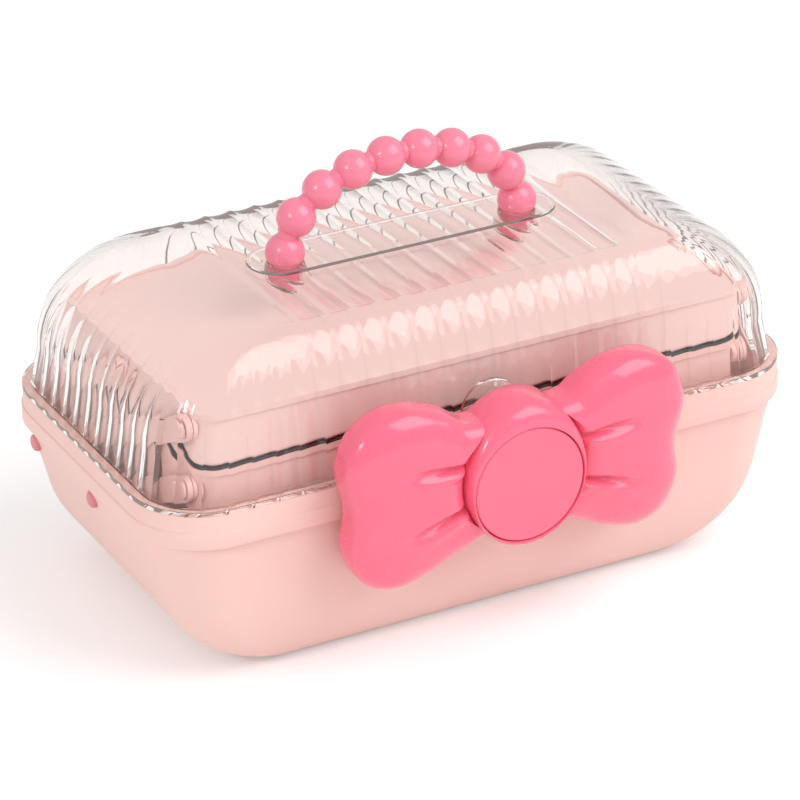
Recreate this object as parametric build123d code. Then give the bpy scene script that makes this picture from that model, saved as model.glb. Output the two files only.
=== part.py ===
from build123d import *
import math
import os

# Carrying case for make-up: a rounded tub, a clear domed lid on a rear hinge, a beaded
# carrying handle, two trays on swinging arms and a bow on the front that holds the catch.
# Millimetres. +X is the user's right, -Y the front with the bow, +Z up. The origin is the
# middle of the flat underside.

# ---- driving dimensions: tub -----------------------------------------------------------
CASE_LENGTH = 280.0         # lid flange and rim, end to end
CASE_DEPTH = 150.0          # lid flange and rim, front to back
RIM_HEIGHT = 78.0           # floor to the face that the lid lies on
CORNER_RADIUS = 29.0        # plan radius of the rim
TUB_WALL = 2.2
BAND_HEIGHT = 14.0          # proud band round the top of the tub
BAND_PROUD = 0.5            # band past the lid flange
BAND_STEP = 0.6             # upper half of the band stands back by this
BAND_ROUND = 1.0            # band's lower edge
TUB_SETBACK = 2.6           # wall behind the band's lower edge
END_DRAFT = 16.0            # degrees, end walls
SIDE_DRAFT = 2.4            # degrees, front and rear walls
END_ROUND = 31.0            # round between the end walls and the underside, along X
END_ROUND_HEIGHT = 34.0
SIDE_ROUND = 17.0           # round between the long walls and the underside, along Y
SIDE_ROUND_HEIGHT = 34.0
BOTTOM_CORNER = 17.0        # plan radius of the flat underside
ROUND_STEPS = 8

# ---- driving dimensions: lid -----------------------------------------------------------
LID_HEIGHT = 58.0           # rim face to plateau
LID_WALL = 2.0
FLANGE_THICKNESS = 2.0
LID_SETBACK = 3.4           # wall behind the flange edge
LID_LEAN = 2.9              # lean of the wall up to the shoulder
UPRIGHT_HEIGHT = 18.0       # upright part of the lid's wall, below the shoulder
SHOULDER_END = 38.0         # how far the shoulder comes in at the two ends
SHOULDER_SIDE = 20.0        # how far it comes in at the front and rear
LID_CORNER = 23.5           # plan radius of the lid wall at the rim
PLATEAU_CORNER = 15.0       # plan radius of the plateau
SHOULDER_STEPS = 8

# ---- driving dimensions: handle --------------------------------------------------------
BEAD_COUNT = 10
BEAD_DIAMETER = 15.6
HANDLE_HALF_SPAN = 51.0
HANDLE_RISE = 31.0          # bead arch above its springing line
SPRING_LINE = 2.4           # springing line above the platform
CORE_DIAMETER = 8.0
PEG_DIAMETER = 12.0
PEG_LENGTH = 9.4
PLATFORM_RISE = 1.2
PLATFORM_MARGIN = 5.2       # platform past a bead, to its sides
PLATFORM_END = 15.5         # platform past the middle of the last bead
SOCKET_WALL = 1.3
SOCKET_FLOOR = 1.6
SOCKET_CLEARANCE = 0.2
PEG_SCREW_BITE = 6.0        # screw inside the peg

# ---- driving dimensions: trays ---------------------------------------------------------
TRAY_END_ROOM = 22.0        # tray's end to the lid flange's end
TRAY_SIDE_ROOM = 29.0       # case depth less tray depth
TRAY_SHIFT = -2.0           # trays stand this far towards the front
HEADROOM = 22.7             # upper tray's edge to the plateau, over the handle sockets
TRAY_GAP = 1.2              # dark line between the two trays
TRAY_WALL = 1.6
TRAY_FLOOR = 1.6
TRAY_CORNER = 9.0
TRAY_ROUND = 2.0            # round of a tray's lower edge
TRAY_LIP = 0.8
TRAY_LIP_HEIGHT = 2.4
LOWER_TRAY_SINK = 9.5       # lower tray's underside below the rim face
DIVIDER = 1.4
DIVIDER_DROP = 2.2          # dividers of the lower tray below its edge
DIVIDER_FIT = 0.15          # loose dividers off the floor and the sides
LOWER_COLUMNS = 3
LOWER_ROWS = 2
UPPER_COLUMNS = 4
COVER_THICKNESS = 1.6
COVER_DROP = 0.9            # cover below the upper tray's edge
COVER_GAP = 0.25
COVER_ROUND = 0.5

# ---- driving dimensions: swinging arms -------------------------------------------------
ARM_EXTRA_RISE = 2.5        # one arm step, past the pitch of the trays
PIVOT_INSET = 8.1           # end pivots inside a tray's long walls
ARM_WIDTH = 10.0
ARM_THICKNESS = 2.5
ARM_GAP = 0.4               # arm to boss, each side
TUB_PIVOT_DROP = 22.4       # tub pivots below the rim face
TRAY_BOSS = 1.2             # boss on a tray's end wall
PIN_DIAMETER = 4.0
RUNNING_GAP = 0.06          # radial, a pin in an arm
SEAT_GAP = 0.02             # radial, a pin in the piece that holds it
PIN_HEAD = 7.0
PIN_HEAD_HEIGHT = 1.2
PIN_HEAD_ROUND = 0.6
TUB_PIN_HEAD_HEIGHT = 2.6
TUB_PIN_HEAD_ROUND = 1.4
KEEPER = 1.0                # collar on a tub pin, inside the arm
HEAD_CLEARANCE = 0.2        # radial, a pin head in its spot face
TUB_BOSS_DIAMETER = 10.0

# ---- driving dimensions: lid hinge -----------------------------------------------------
HINGE_INSET = 55.0          # middle of a hinge to the lid flange's end
HINGE_STANDOFF = 3.8        # hinge axis behind the band
KNUCKLE_CLEARANCE = 0.4     # knuckle to the band's side
KNUCKLE_WIDTH = 16.0
LUG_WIDTH = 5.0
LUG_FOOT = 1.5              # lug's root above the band's lower edge
LUG_DROP = 0.4              # lug's root below the rim face
HINGE_SIDE_GAP = 0.3
HINGE_PIN = 3.0

# ---- driving dimensions: bow and catch -------------------------------------------------
BOW_LENGTH = 147.0
BOW_HEIGHT = 69.0
BOW_DROP = 1.5              # middle of the bow below the rim face
BOW_STANDOFF = 3.9          # bow's back in front of the band
BOW_THICKNESS = 17.0        # lobes, back to front
BOW_ROOT = 0.32             # lobe's half height at the knot, as a share of the bow's height
LOBE_DROP = 4.5             # how much lower the lobes hang than they rise
KNOT_LESS = 15.0            # bow's height less the knot's width
KNOT_EXTRA = 6.0            # knot's height more than its width
KNOT_PROUD = 4.0            # knot's front past the lobes
BOW_WALL = 2.2
BOW_FRONT_WALL = 5.0        # thicker, for the rounded front edges
LOBE_ROUND = 6.5
LOBE_STEPS = 5
KNOT_ROUND = 7.0
BACK_PLATE = 2.0
BACK_PLATE_GAP = 0.15
BUTTON_BORDER = 3.7         # button's edge to the knot's side
BUTTON_GAP = 0.4
BUTTON_SINK = 0.4           # button's face behind the knot's front
BUTTON_THICKNESS = 3.4
BUTTON_DROP = 3.5           # middle of the button below the middle of the bow
BUTTON_TRAVEL = 3.0
BUTTON_ROUND = 0.8
GUIDE_SHARE = 0.6           # guide spacing as a share of the button's diameter
GUIDE_DIAMETER = 4.0
GUIDE_GAP = 0.08
SLEEVE_WALL = 1.5
SLEEVE_LENGTH = 7.5
SCREW_MARGIN = 7.0          # bow screws outside the knot's sides
SCREW_SHARE = 0.34          # lower screws below the bow's middle, as a share of its height
SCREW_BITE = 8.0            # bow screw in front of the plate
SCREW_CLEARANCE = 0.2
SCREW_DIAMETER = 3.0
SCREW_HEAD = 5.6
SCREW_HEAD_HEIGHT = 1.8
SPACER_DIAMETER = 9.0
SPRING_DIAMETER = 10.0      # middle of the wire
SPRING_WIRE = 0.9
SPRING_TURNS = 5
SPRING_SHARE = 0.236        # spring above the button's middle, as a share of its diameter
SPRING_END_GAP = 0.05
POST_GAP = 0.45             # radial, post inside the spring and cup outside it
POST_LENGTH = 3.0
CUP_WALL = 1.1
CUP_DEPTH = 2.0
BLADE_HALF_WIDTH = 3.0
BLADE_THICKNESS = 1.6
HOOK_WIDTH = 8.0
HOOK_THICKNESS = 4.0
HOOK_PIVOT_DROP = 9.0       # pivot below the middle of the button
HOOK_EDGE = 1.8             # hook's lower end inside the button's edge
HOOK_STANDOFF = 5.0         # hook pivot in front of the plate
HOOK_HUB = 3.2
HOOK_UPPER = 9.5
HOOK_NOSE = 3.4
HOOK_CLEARANCE = 0.35
HOOK_PIN = 2.5
EAR_GAP = 0.4
EAR_THICKNESS = 2.0
CATCH_WIDTH = 26.0
CATCH_TOP = 26.0            # top of the catch housing above the rim face
CATCH_REACH = 10.5          # catch plate below the rim face
CATCH_THICKNESS = 2.2
CATCH_GAP = 0.9
CATCH_DEPTH = 36.0          # housing's back end behind the catch plate, inside the lid's skin
WINDOW_MARGIN = 0.7

# ---- worked-out places -----------------------------------------------------------------
HALF_LENGTH = CASE_LENGTH / 2
HALF_DEPTH = CASE_DEPTH / 2
BAND_FACE = HALF_DEPTH + BAND_PROUD
BAND_BOTTOM = RIM_HEIGHT - BAND_HEIGHT
PLATEAU = RIM_HEIGHT + LID_HEIGHT
SHOULDER_HEIGHT = LID_HEIGHT - UPRIGHT_HEIGHT
PLATFORM = PLATEAU + PLATFORM_RISE
SOCKET_BOTTOM = PLATFORM - PEG_LENGTH - SOCKET_CLEARANCE - SOCKET_FLOOR

TRAY_LENGTH = CASE_LENGTH - 2 * TRAY_END_ROOM
TRAY_DEPTH = CASE_DEPTH - TRAY_SIDE_ROOM
TRAY_HEIGHT = (LID_HEIGHT - HEADROOM + LOWER_TRAY_SINK - TRAY_GAP) / 2
TRAY_END = TRAY_LENGTH / 2
LOWER_TRAY_Z = RIM_HEIGHT - LOWER_TRAY_SINK
UPPER_TRAY_Z = LOWER_TRAY_Z + TRAY_HEIGHT + TRAY_GAP

ARM_RISE = TRAY_HEIGHT + TRAY_GAP + ARM_EXTRA_RISE
ARM_RUN = TRAY_DEPTH / 2 - PIVOT_INSET
ARM_INNER = TRAY_END + TRAY_BOSS + ARM_GAP
ARM_OUTER = ARM_INNER + ARM_THICKNESS
REAR_PIVOT_Y = TRAY_SHIFT + ARM_RUN
FRONT_PIVOT_Y = REAR_PIVOT_Y - ARM_RUN
TUB_PIVOT_Z = RIM_HEIGHT - TUB_PIVOT_DROP

KNUCKLE_RADIUS = HINGE_STANDOFF - KNUCKLE_CLEARANCE
HINGE_Y = BAND_FACE + HINGE_STANDOFF
HINGE_X = HALF_LENGTH - HINGE_INSET

BOW_CENTRE = RIM_HEIGHT - BOW_DROP
BOW_BACK = BAND_FACE + BOW_STANDOFF
BOW_FRONT = BOW_BACK + BOW_THICKNESS
KNOT_WIDTH = BOW_HEIGHT - KNOT_LESS
KNOT_HEIGHT = KNOT_WIDTH + KNOT_EXTRA
KNOT_FRONT = BOW_FRONT + KNOT_PROUD
PLATE_FRONT = BOW_BACK + BACK_PLATE
BUTTON_DIAMETER = KNOT_WIDTH - 2 * BUTTON_BORDER
BUTTON_HEIGHT = BOW_CENTRE - BUTTON_DROP
BUTTON_FACE = KNOT_FRONT - BUTTON_SINK
BUTTON_REAR = BUTTON_FACE - BUTTON_THICKNESS
GUIDE_X = BUTTON_DIAMETER * GUIDE_SHARE / 2
SPRING_Z = BUTTON_HEIGHT + BUTTON_DIAMETER * SPRING_SHARE
SCREW_X = KNOT_WIDTH / 2 + SCREW_MARGIN
BAND_SCREW_Z = RIM_HEIGHT - BAND_HEIGHT / 2
WALL_SCREW_Z = BOW_CENTRE - BOW_HEIGHT * SCREW_SHARE
CATCH_FRONT = BOW_BACK - CATCH_GAP
CATCH_BACK = CATCH_FRONT - CATCH_THICKNESS
HOOK_PIVOT_Z = BUTTON_HEIGHT - HOOK_PIVOT_DROP
HOOK_PIVOT_Y = PLATE_FRONT + HOOK_STANDOFF
HOOK_LOWER = BUTTON_DIAMETER / 2 - HOOK_PIVOT_DROP - HOOK_EDGE


def round_slab(length, depth, radius, z, height):
    """A flat slab with rounded plan corners."""
    outline = Plane.XY.offset(z) * RectangleRounded(length, depth, radius)
    return extrude(outline, height)


def rod_x(radius, x0, x1, y, z):
    """A round bar along X."""
    bar = Cylinder(radius, abs(x1 - x0), rotation=(0, 90, 0))
    return Pos((x0 + x1) / 2, y, z) * bar


def rod_y(radius, y0, y1, x, z):
    """A round bar along Y."""
    bar = Cylinder(radius, abs(y1 - y0), rotation=(90, 0, 0))
    return Pos(x, (y0 + y1) / 2, z) * bar


def block(x0, x1, y0, y1, z0, z1):
    """A box from its two corners."""
    size = Box(abs(x1 - x0), abs(y1 - y0), abs(z1 - z0))
    return Pos((x0 + x1) / 2, (y0 + y1) / 2, (z0 + z1) / 2) * size


def write(name, shape):
    """Save one piece, or a group of alike pieces, under its name."""
    shape.label = name
    export_step(shape, f"parts/{name}.step")


# ---- tub -------------------------------------------------------------------------------
def wall_inset(z, draft, width, height):
    """How far a wall stands inside the band's foot at a height: a lean, then an oval round."""
    lean = math.tan(math.radians(draft)) * (BAND_BOTTOM - z)
    if z >= height:
        return lean
    drop = (height - z) / height
    return lean + width * (1 - math.sqrt(1 - drop * drop))


def tub_levels():
    """Heights of the outlines: close together at the floor, where the wall turns fastest."""
    turn = max(END_ROUND_HEIGHT, SIDE_ROUND_HEIGHT)
    steps = [turn * (1 - math.cos(math.radians(90 * n / ROUND_STEPS))) for n in range(ROUND_STEPS + 1)]
    return steps + [BAND_BOTTOM]


def tub_body(inset, floor):
    """The tub as a solid up to its rim, inset on all sides and raised by a floor."""
    sections = []
    for level in tub_levels():
        half_x = tub_wall_x(level) - inset
        half_y = tub_wall_y(level) - inset
        share = level / BAND_BOTTOM
        radius = BOTTOM_CORNER + (CORNER_RADIUS - TUB_SETBACK - BOTTOM_CORNER) * share - inset
        z = floor + level * (BAND_BOTTOM - floor) / BAND_BOTTOM
        sections.append(Plane.XY.offset(z) * RectangleRounded(2 * half_x, 2 * half_y, radius))
    mouth = RectangleRounded(2 * half_x, 2 * half_y, radius)
    sections.append(Plane.XY.offset(RIM_HEIGHT + floor) * mouth)
    return loft(sections, ruled=True)


def tub_band():
    """The proud band with its small step at half height."""
    half_height = BAND_HEIGHT / 2
    length = CASE_LENGTH + 2 * BAND_PROUD
    depth = CASE_DEPTH + 2 * BAND_PROUD
    radius = CORNER_RADIUS + BAND_PROUD
    lower = round_slab(length, depth, radius, BAND_BOTTOM, half_height)
    lower = fillet(lower.faces().sort_by(Axis.Z)[0].edges(), BAND_ROUND)
    length -= 2 * BAND_STEP
    depth -= 2 * BAND_STEP
    radius -= BAND_STEP
    upper = round_slab(length, depth, radius, BAND_BOTTOM + half_height, half_height)
    return lower + upper


def tub_wall_x(z):
    """Outer face of the end walls at a height below the band."""
    foot = HALF_LENGTH + BAND_PROUD - TUB_SETBACK
    return foot - wall_inset(z, END_DRAFT, END_ROUND, END_ROUND_HEIGHT)


def tub_wall_y(z):
    """Outer face of the long walls at a height below the band."""
    foot = BAND_FACE - TUB_SETBACK
    return foot - wall_inset(z, SIDE_DRAFT, SIDE_ROUND, SIDE_ROUND_HEIGHT)


def spot_face_x():
    """Depth of the flat seat of a pin head in the leaning end wall."""
    return tub_wall_x(TUB_PIVOT_Z - PIN_HEAD / 2) + 0.1


def tub_pivots():
    """Rear and front pivots in the tub's end walls, as (y, z)."""
    return [(REAR_PIVOT_Y, TUB_PIVOT_Z), (FRONT_PIVOT_Y, TUB_PIVOT_Z)]


def hinge_lug(x):
    """One lug on the rear of the band, round the hinge axis."""
    near = x - LUG_WIDTH / 2
    eye = rod_x(KNUCKLE_RADIUS, near, near + LUG_WIDTH, HINGE_Y, RIM_HEIGHT)
    root_y = BAND_FACE - BAND_STEP
    low = BAND_BOTTOM + LUG_FOOT
    high = RIM_HEIGHT - LUG_DROP
    profile = Polyline(
        (root_y - 1, low),
        (BAND_FACE, low),
        (HINGE_Y + KNUCKLE_RADIUS * 0.8, RIM_HEIGHT - KNUCKLE_RADIUS * 0.6),
        (HINGE_Y, high),
        (root_y - 1, high),
        close=True,
    )
    return eye + extrude(Plane.YZ.offset(near) * make_face(profile), LUG_WIDTH)


def tub_bosses():
    """Bosses inside the end walls for the pins of the arms, trimmed to the wall."""
    bosses = Part()
    for side in (-1, 1):
        for y, z in tub_pivots():
            start = side * (ARM_OUTER + ARM_GAP)
            bosses += rod_x(TUB_BOSS_DIAMETER / 2, start, side * HALF_LENGTH, y, z)
    return bosses & tub_body(0, 0)


def tub_pin_holes():
    """Bores for the pins with the flat spot faces for their heads."""
    holes = Part()
    for side in (-1, 1):
        for y, z in tub_pivots():
            end = side * (HALF_LENGTH + 5)
            spot = PIN_HEAD / 2 + HEAD_CLEARANCE
            holes += rod_x(spot, side * spot_face_x(), end, y, z)
            holes += rod_x(PIN_DIAMETER / 2 + SEAT_GAP, side * ARM_OUTER, end, y, z)
    return holes


def make_tub():
    tub = tub_body(0, 0) + tub_band() - tub_body(TUB_WALL, TUB_WALL) + tub_bosses()
    tub -= tub_pin_holes()
    pitch = KNUCKLE_WIDTH / 2 + HINGE_SIDE_GAP + LUG_WIDTH / 2
    for side in (-1, 1):
        for offset in (-pitch, pitch):
            tub += hinge_lug(side * HINGE_X + offset)
    bore = HINGE_PIN / 2 + SEAT_GAP
    tub -= rod_x(bore, -HALF_LENGTH, HALF_LENGTH, HINGE_Y, RIM_HEIGHT)
    for x, z in screw_places():
        hole = SCREW_DIAMETER / 2 + SCREW_CLEARANCE
        tub -= rod_y(hole, -BAND_FACE - 5, -BAND_FACE + 12, x, z)
    return tub


# ---- lid -------------------------------------------------------------------------------
def lid_sections(inset, top_drop):
    """Plan outlines of the lid from the rim to the plateau, inset from the outer skin."""
    half_x = HALF_LENGTH - LID_SETBACK - inset
    half_y = HALF_DEPTH - LID_SETBACK - inset
    shoulder_z = PLATEAU - SHOULDER_HEIGHT
    foot = RectangleRounded(2 * half_x, 2 * half_y, LID_CORNER - inset)
    outlines = [Plane.XY.offset(RIM_HEIGHT) * foot]
    for step in range(SHOULDER_STEPS + 1):
        angle = math.radians(90 * step / SHOULDER_STEPS)
        in_x = LID_LEAN + SHOULDER_END * (1 - math.cos(angle))
        in_y = LID_LEAN + SHOULDER_SIDE * (1 - math.cos(angle))
        z = shoulder_z + (SHOULDER_HEIGHT - top_drop) * math.sin(angle)
        share = step / SHOULDER_STEPS
        radius = LID_CORNER - inset + (PLATEAU_CORNER - LID_CORNER) * share
        outline = RectangleRounded(2 * (half_x - in_x), 2 * (half_y - in_y), radius)
        outlines.append(Plane.XY.offset(z) * outline)
    return outlines


def lid_dome(inset, top_drop):
    return loft(lid_sections(inset, top_drop), ruled=True)


def lid_flange():
    return round_slab(CASE_LENGTH, CASE_DEPTH, CORNER_RADIUS, RIM_HEIGHT, FLANGE_THICKNESS)


def handle_platform():
    """Raised oblong on the plateau that the handle stands on."""
    length = 2 * (HANDLE_HALF_SPAN + PLATFORM_END)
    width = BEAD_DIAMETER + 2 * PLATFORM_MARGIN
    outline = Plane.XY.offset(PLATEAU - 0.5) * SlotOverall(length, width)
    return extrude(outline, PLATFORM_RISE + 0.5)


def handle_socket(x):
    """Tube and floor under the plateau that take one peg of the handle."""
    radius = PEG_DIAMETER / 2 + SOCKET_CLEARANCE + SOCKET_WALL
    height = PLATEAU - SOCKET_BOTTOM
    return Pos(x, 0, SOCKET_BOTTOM + height / 2) * Cylinder(radius, height)


def socket_bore(x):
    """Blind bore for a peg with the screw hole through its floor."""
    depth = PEG_LENGTH + SOCKET_CLEARANCE
    hole = Cylinder(SCREW_DIAMETER / 2 + SCREW_CLEARANCE, 3 * SOCKET_FLOOR)
    bore = Cylinder(PEG_DIAMETER / 2 + SOCKET_CLEARANCE, depth + 1)
    return Pos(x, 0, PLATFORM - depth / 2 + 0.5) * bore + Pos(x, 0, SOCKET_BOTTOM) * hole


def catch_profile(half_width, bottom, top):
    """Arch outline in XZ: straight sides and a round top."""
    spring = top - half_width
    with BuildSketch(Plane.XZ) as arch:
        with BuildLine():
            Line((-half_width, bottom), (half_width, bottom))
            Line((half_width, bottom), (half_width, spring))
            ThreePointArc((half_width, spring), (0, top), (-half_width, spring))
            Line((-half_width, spring), (-half_width, bottom))
        make_face()
    return arch.sketch


def lid_catch(dome_outer):
    """Hollow housing on the lid's front wall with the catch plate that hangs below the rim."""
    half = CATCH_WIDTH / 2
    top = RIM_HEIGHT + CATCH_TOP
    plate_low = RIM_HEIGHT - CATCH_REACH
    plate = extrude(catch_profile(half, plate_low, top), CATCH_THICKNESS)
    plate = Pos(0, -CATCH_BACK, 0) * plate
    rim = extrude(catch_profile(half, RIM_HEIGHT + 0.2, top), CATCH_DEPTH)
    hollow = catch_profile(half - LID_WALL, RIM_HEIGHT - 1, top - LID_WALL)
    rim -= extrude(hollow, CATCH_DEPTH)
    rim = Pos(0, CATCH_DEPTH - CATCH_BACK, 0) * rim
    rim -= dome_outer
    middle = HOOK_PIVOT_Z + HOOK_UPPER
    half_x = HOOK_WIDTH / 2 + 1
    half_z = HOOK_NOSE / 2 + WINDOW_MARGIN
    window = block(-half_x, half_x, -CATCH_FRONT - 1, -CATCH_BACK + 1, middle - half_z, middle + half_z)
    return plate + rim - window


def hinge_knuckle(x):
    """Lid knuckle round the hinge axis with the web that joins it to the flange."""
    near = x - KNUCKLE_WIDTH / 2
    far = x + KNUCKLE_WIDTH / 2
    barrel = rod_x(KNUCKLE_RADIUS, near, far, HINGE_Y, RIM_HEIGHT)
    top = RIM_HEIGHT + FLANGE_THICKNESS
    web = block(near, far, HALF_DEPTH - 2, HINGE_Y, RIM_HEIGHT + 0.1, top)
    return barrel + web


def make_lid():
    dome_outer = lid_dome(0, 0)
    lid = dome_outer + lid_flange() + handle_platform() + lid_catch(dome_outer)
    lid -= lid_dome(LID_WALL, LID_WALL)
    for side in (-1, 1):
        lid += hinge_knuckle(side * HINGE_X)
        lid += handle_socket(side * HANDLE_HALF_SPAN)
        lid -= socket_bore(side * HANDLE_HALF_SPAN)
    lid -= rod_x(HINGE_PIN / 2 + RUNNING_GAP, -HALF_LENGTH, HALF_LENGTH, HINGE_Y, RIM_HEIGHT)
    return lid


# ---- handle ----------------------------------------------------------------------------
def handle_arch():
    """Half ellipse on which the beads are threaded, in the XZ plane through the middle."""
    return EllipticalCenterArc((0, 0), HANDLE_HALF_SPAN, HANDLE_RISE, start_angle=0, arc_size=180)


def make_handle():
    springing = PLATFORM + SPRING_LINE
    arch = Plane.XZ * handle_arch()
    core_start = Plane(origin=arch @ 0, z_dir=arch % 0)
    handle = sweep(core_start * Circle(CORE_DIAMETER / 2), path=arch)
    for index in range(1, BEAD_COUNT - 1):
        centre = arch @ (index / (BEAD_COUNT - 1))
        handle += Pos(centre.X, centre.Y, centre.Z) * Sphere(BEAD_DIAMETER / 2)
    handle = Pos(0, 0, springing) * handle
    for side in (-1, 1):
        x = side * HANDLE_HALF_SPAN
        seat = Pos(x, 0, springing) * Sphere(BEAD_DIAMETER / 2)
        seat -= block(x - 20, x + 20, -20, 20, PLATFORM - 30, PLATFORM)
        peg = Pos(x, 0, PLATFORM - PEG_LENGTH / 2) * Cylinder(PEG_DIAMETER / 2, PEG_LENGTH)
        handle += seat + peg
        pilot = Cylinder(SCREW_DIAMETER / 2 + SEAT_GAP, 2 * PEG_SCREW_BITE + 1)
        handle -= Pos(x, 0, PLATFORM - PEG_LENGTH) * pilot
    return handle


def make_handle_screws():
    """Two screws from under the sockets into the pegs."""
    screws = []
    shank = SOCKET_FLOOR + SOCKET_CLEARANCE + PEG_SCREW_BITE
    for side in (-1, 1):
        x = side * HANDLE_HALF_SPAN
        screw = Pos(x, 0, SOCKET_BOTTOM + shank / 2) * Cylinder(SCREW_DIAMETER / 2, shank)
        head = Cylinder(SCREW_HEAD / 2, SCREW_HEAD_HEIGHT)
        screw += Pos(x, 0, SOCKET_BOTTOM - SCREW_HEAD_HEIGHT / 2) * head
        screw -= Pos(x, 0, SOCKET_BOTTOM - SCREW_HEAD_HEIGHT) * cross_recess()
        screws.append(screw)
    return Compound(children=screws)


def cross_recess():
    """Cross-shaped driver recess, centred on the face of a screw head."""
    return Box(3.0, 0.8, 2.0) + Box(0.8, 3.0, 2.0)


# ---- trays -----------------------------------------------------------------------------
def tray_shell(base):
    """Open tray with a small lip round its edge."""
    outer = round_slab(TRAY_LENGTH, TRAY_DEPTH, TRAY_CORNER, base, TRAY_HEIGHT)
    outer = fillet(outer.faces().sort_by(Axis.Z)[0].edges(), TRAY_ROUND)
    lip_z = base + TRAY_HEIGHT - TRAY_LIP_HEIGHT
    lip_radius = TRAY_CORNER + TRAY_LIP
    lip_length = TRAY_LENGTH + 2 * TRAY_LIP
    lip = round_slab(lip_length, TRAY_DEPTH + 2 * TRAY_LIP, lip_radius, lip_z, TRAY_LIP_HEIGHT)
    inner_length = TRAY_LENGTH - 2 * TRAY_WALL
    inner_depth = TRAY_DEPTH - 2 * TRAY_WALL
    inner_radius = TRAY_CORNER - TRAY_WALL
    inner = round_slab(inner_length, inner_depth, inner_radius, base + TRAY_FLOOR, TRAY_HEIGHT)
    return outer + lip - inner


def tray_dividers(base, top, columns, rows, fit):
    """Cross walls between the compartments, this far off the tray's floor and sides."""
    half_x = TRAY_END - TRAY_WALL
    half_y = TRAY_DEPTH / 2 - TRAY_WALL
    half = DIVIDER / 2
    low = base + TRAY_FLOOR + fit
    walls = Part()
    for index in range(1, columns):
        x = half_x * (2 * index / columns - 1)
        walls += block(x - half, x + half, fit - half_y, half_y - fit, low, top)
    for index in range(1, rows):
        y = half_y * (2 * index / rows - 1)
        walls += block(fit - half_x, half_x - fit, y - half, y + half, low, top)
    return Pos(0, TRAY_SHIFT, 0) * walls


def tray_with_bosses(base, pivots):
    """An open tray with the pivot bosses on both end walls."""
    tray = Pos(0, TRAY_SHIFT, 0) * tray_shell(base)
    bore = PIN_DIAMETER / 2 + SEAT_GAP
    for side in (-1, 1):
        boss_end = side * (TRAY_END + TRAY_BOSS)
        for y, z in pivots:
            tray += rod_x(ARM_WIDTH / 2, side * (TRAY_END - TRAY_WALL / 2), boss_end, y, z)
            tray -= rod_x(bore, side * (TRAY_END - 2 * TRAY_WALL), boss_end + side, y, z)
    return tray


def lower_pivots():
    """Front, middle and rear pivots on the lower tray, as (y, z)."""
    z = TUB_PIVOT_Z + ARM_RISE
    return [(FRONT_PIVOT_Y - ARM_RUN, z), (REAR_PIVOT_Y - ARM_RUN, z), (REAR_PIVOT_Y, z)]


def upper_pivots():
    """Front and middle pivots on the upper tray, as (y, z)."""
    z = TUB_PIVOT_Z + 2 * ARM_RISE
    return [(REAR_PIVOT_Y - 2 * ARM_RUN, z), (REAR_PIVOT_Y - ARM_RUN, z)]


def make_lower_tray():
    return tray_with_bosses(LOWER_TRAY_Z, lower_pivots())


def make_lower_tray_dividers():
    """Loose cross walls that stand in the lower tray."""
    top = LOWER_TRAY_Z + TRAY_HEIGHT - DIVIDER_DROP
    return tray_dividers(LOWER_TRAY_Z, top, LOWER_COLUMNS, LOWER_ROWS, DIVIDER_FIT)


def make_upper_tray():
    """The upper tray with the cross walls that its cover rests on moulded in."""
    top = UPPER_TRAY_Z + TRAY_HEIGHT - COVER_DROP - COVER_THICKNESS
    tray = tray_with_bosses(UPPER_TRAY_Z, upper_pivots())
    return tray + tray_dividers(UPPER_TRAY_Z, top, UPPER_COLUMNS, 1, -TRAY_WALL / 4)


def make_upper_tray_cover():
    """Flat panel let into the upper tray; it rests on the walls between the compartments."""
    length = TRAY_LENGTH - 2 * TRAY_WALL - 2 * COVER_GAP
    depth = TRAY_DEPTH - 2 * TRAY_WALL - 2 * COVER_GAP
    top = UPPER_TRAY_Z + TRAY_HEIGHT - COVER_DROP
    radius = TRAY_CORNER - TRAY_WALL - COVER_GAP
    cover = round_slab(length, depth, radius, top - COVER_THICKNESS, COVER_THICKNESS)
    cover = fillet(cover.faces().sort_by(Axis.Z)[-1].edges(), COVER_ROUND)
    return Pos(0, TRAY_SHIFT, 0) * cover


# ---- arms and their pins ---------------------------------------------------------------
def make_arm(side, start, steps):
    """Flat arm from a pivot, one or two steps towards the front and up, bored at each step."""
    pivots = [(start[0] - ARM_RUN * n, start[1] + ARM_RISE * n) for n in range(steps + 1)]
    mid_y = (pivots[0][0] + pivots[-1][0]) / 2
    mid_z = (pivots[0][1] + pivots[-1][1]) / 2
    length = math.hypot(ARM_RUN, ARM_RISE) * steps
    angle = math.degrees(math.atan2(ARM_RISE, -ARM_RUN))
    low_x = min(side * ARM_INNER, side * ARM_OUTER)
    flat = Rot(0, 0, angle) * SlotCenterToCenter(length, ARM_WIDTH)
    arm = extrude(Plane.YZ.offset(low_x) * (Pos(mid_y, mid_z) * flat), ARM_THICKNESS)
    bore = PIN_DIAMETER / 2 + RUNNING_GAP
    for y, z in pivots:
        arm -= rod_x(bore, low_x - 1, low_x + ARM_THICKNESS + 1, y, z)
    return arm


def pin_head(side, start, height, rounding, y, z):
    """Domed head along X, rounded at the end that points away from the case's middle."""
    head = rod_x(PIN_HEAD / 2, side * start, side * (start + height), y, z)
    outer = head.faces().sort_by(Axis.X)[-1 if side > 0 else 0]
    return fillet(outer.edges(), rounding)


def tray_pin(side, y, z):
    """Pin from the inner face of a tray's end wall through an arm, with a domed head outside."""
    seat = ARM_OUTER + ARM_GAP
    tail = TRAY_END - TRAY_WALL
    shank = rod_x(PIN_DIAMETER / 2, side * tail, side * seat, y, z)
    return shank + pin_head(side, seat, PIN_HEAD_HEIGHT, PIN_HEAD_ROUND, y, z)


def make_tray_pins(pivots):
    pins = [tray_pin(side, y, z) for side in (-1, 1) for y, z in pivots]
    return Compound(children=pins)


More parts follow.
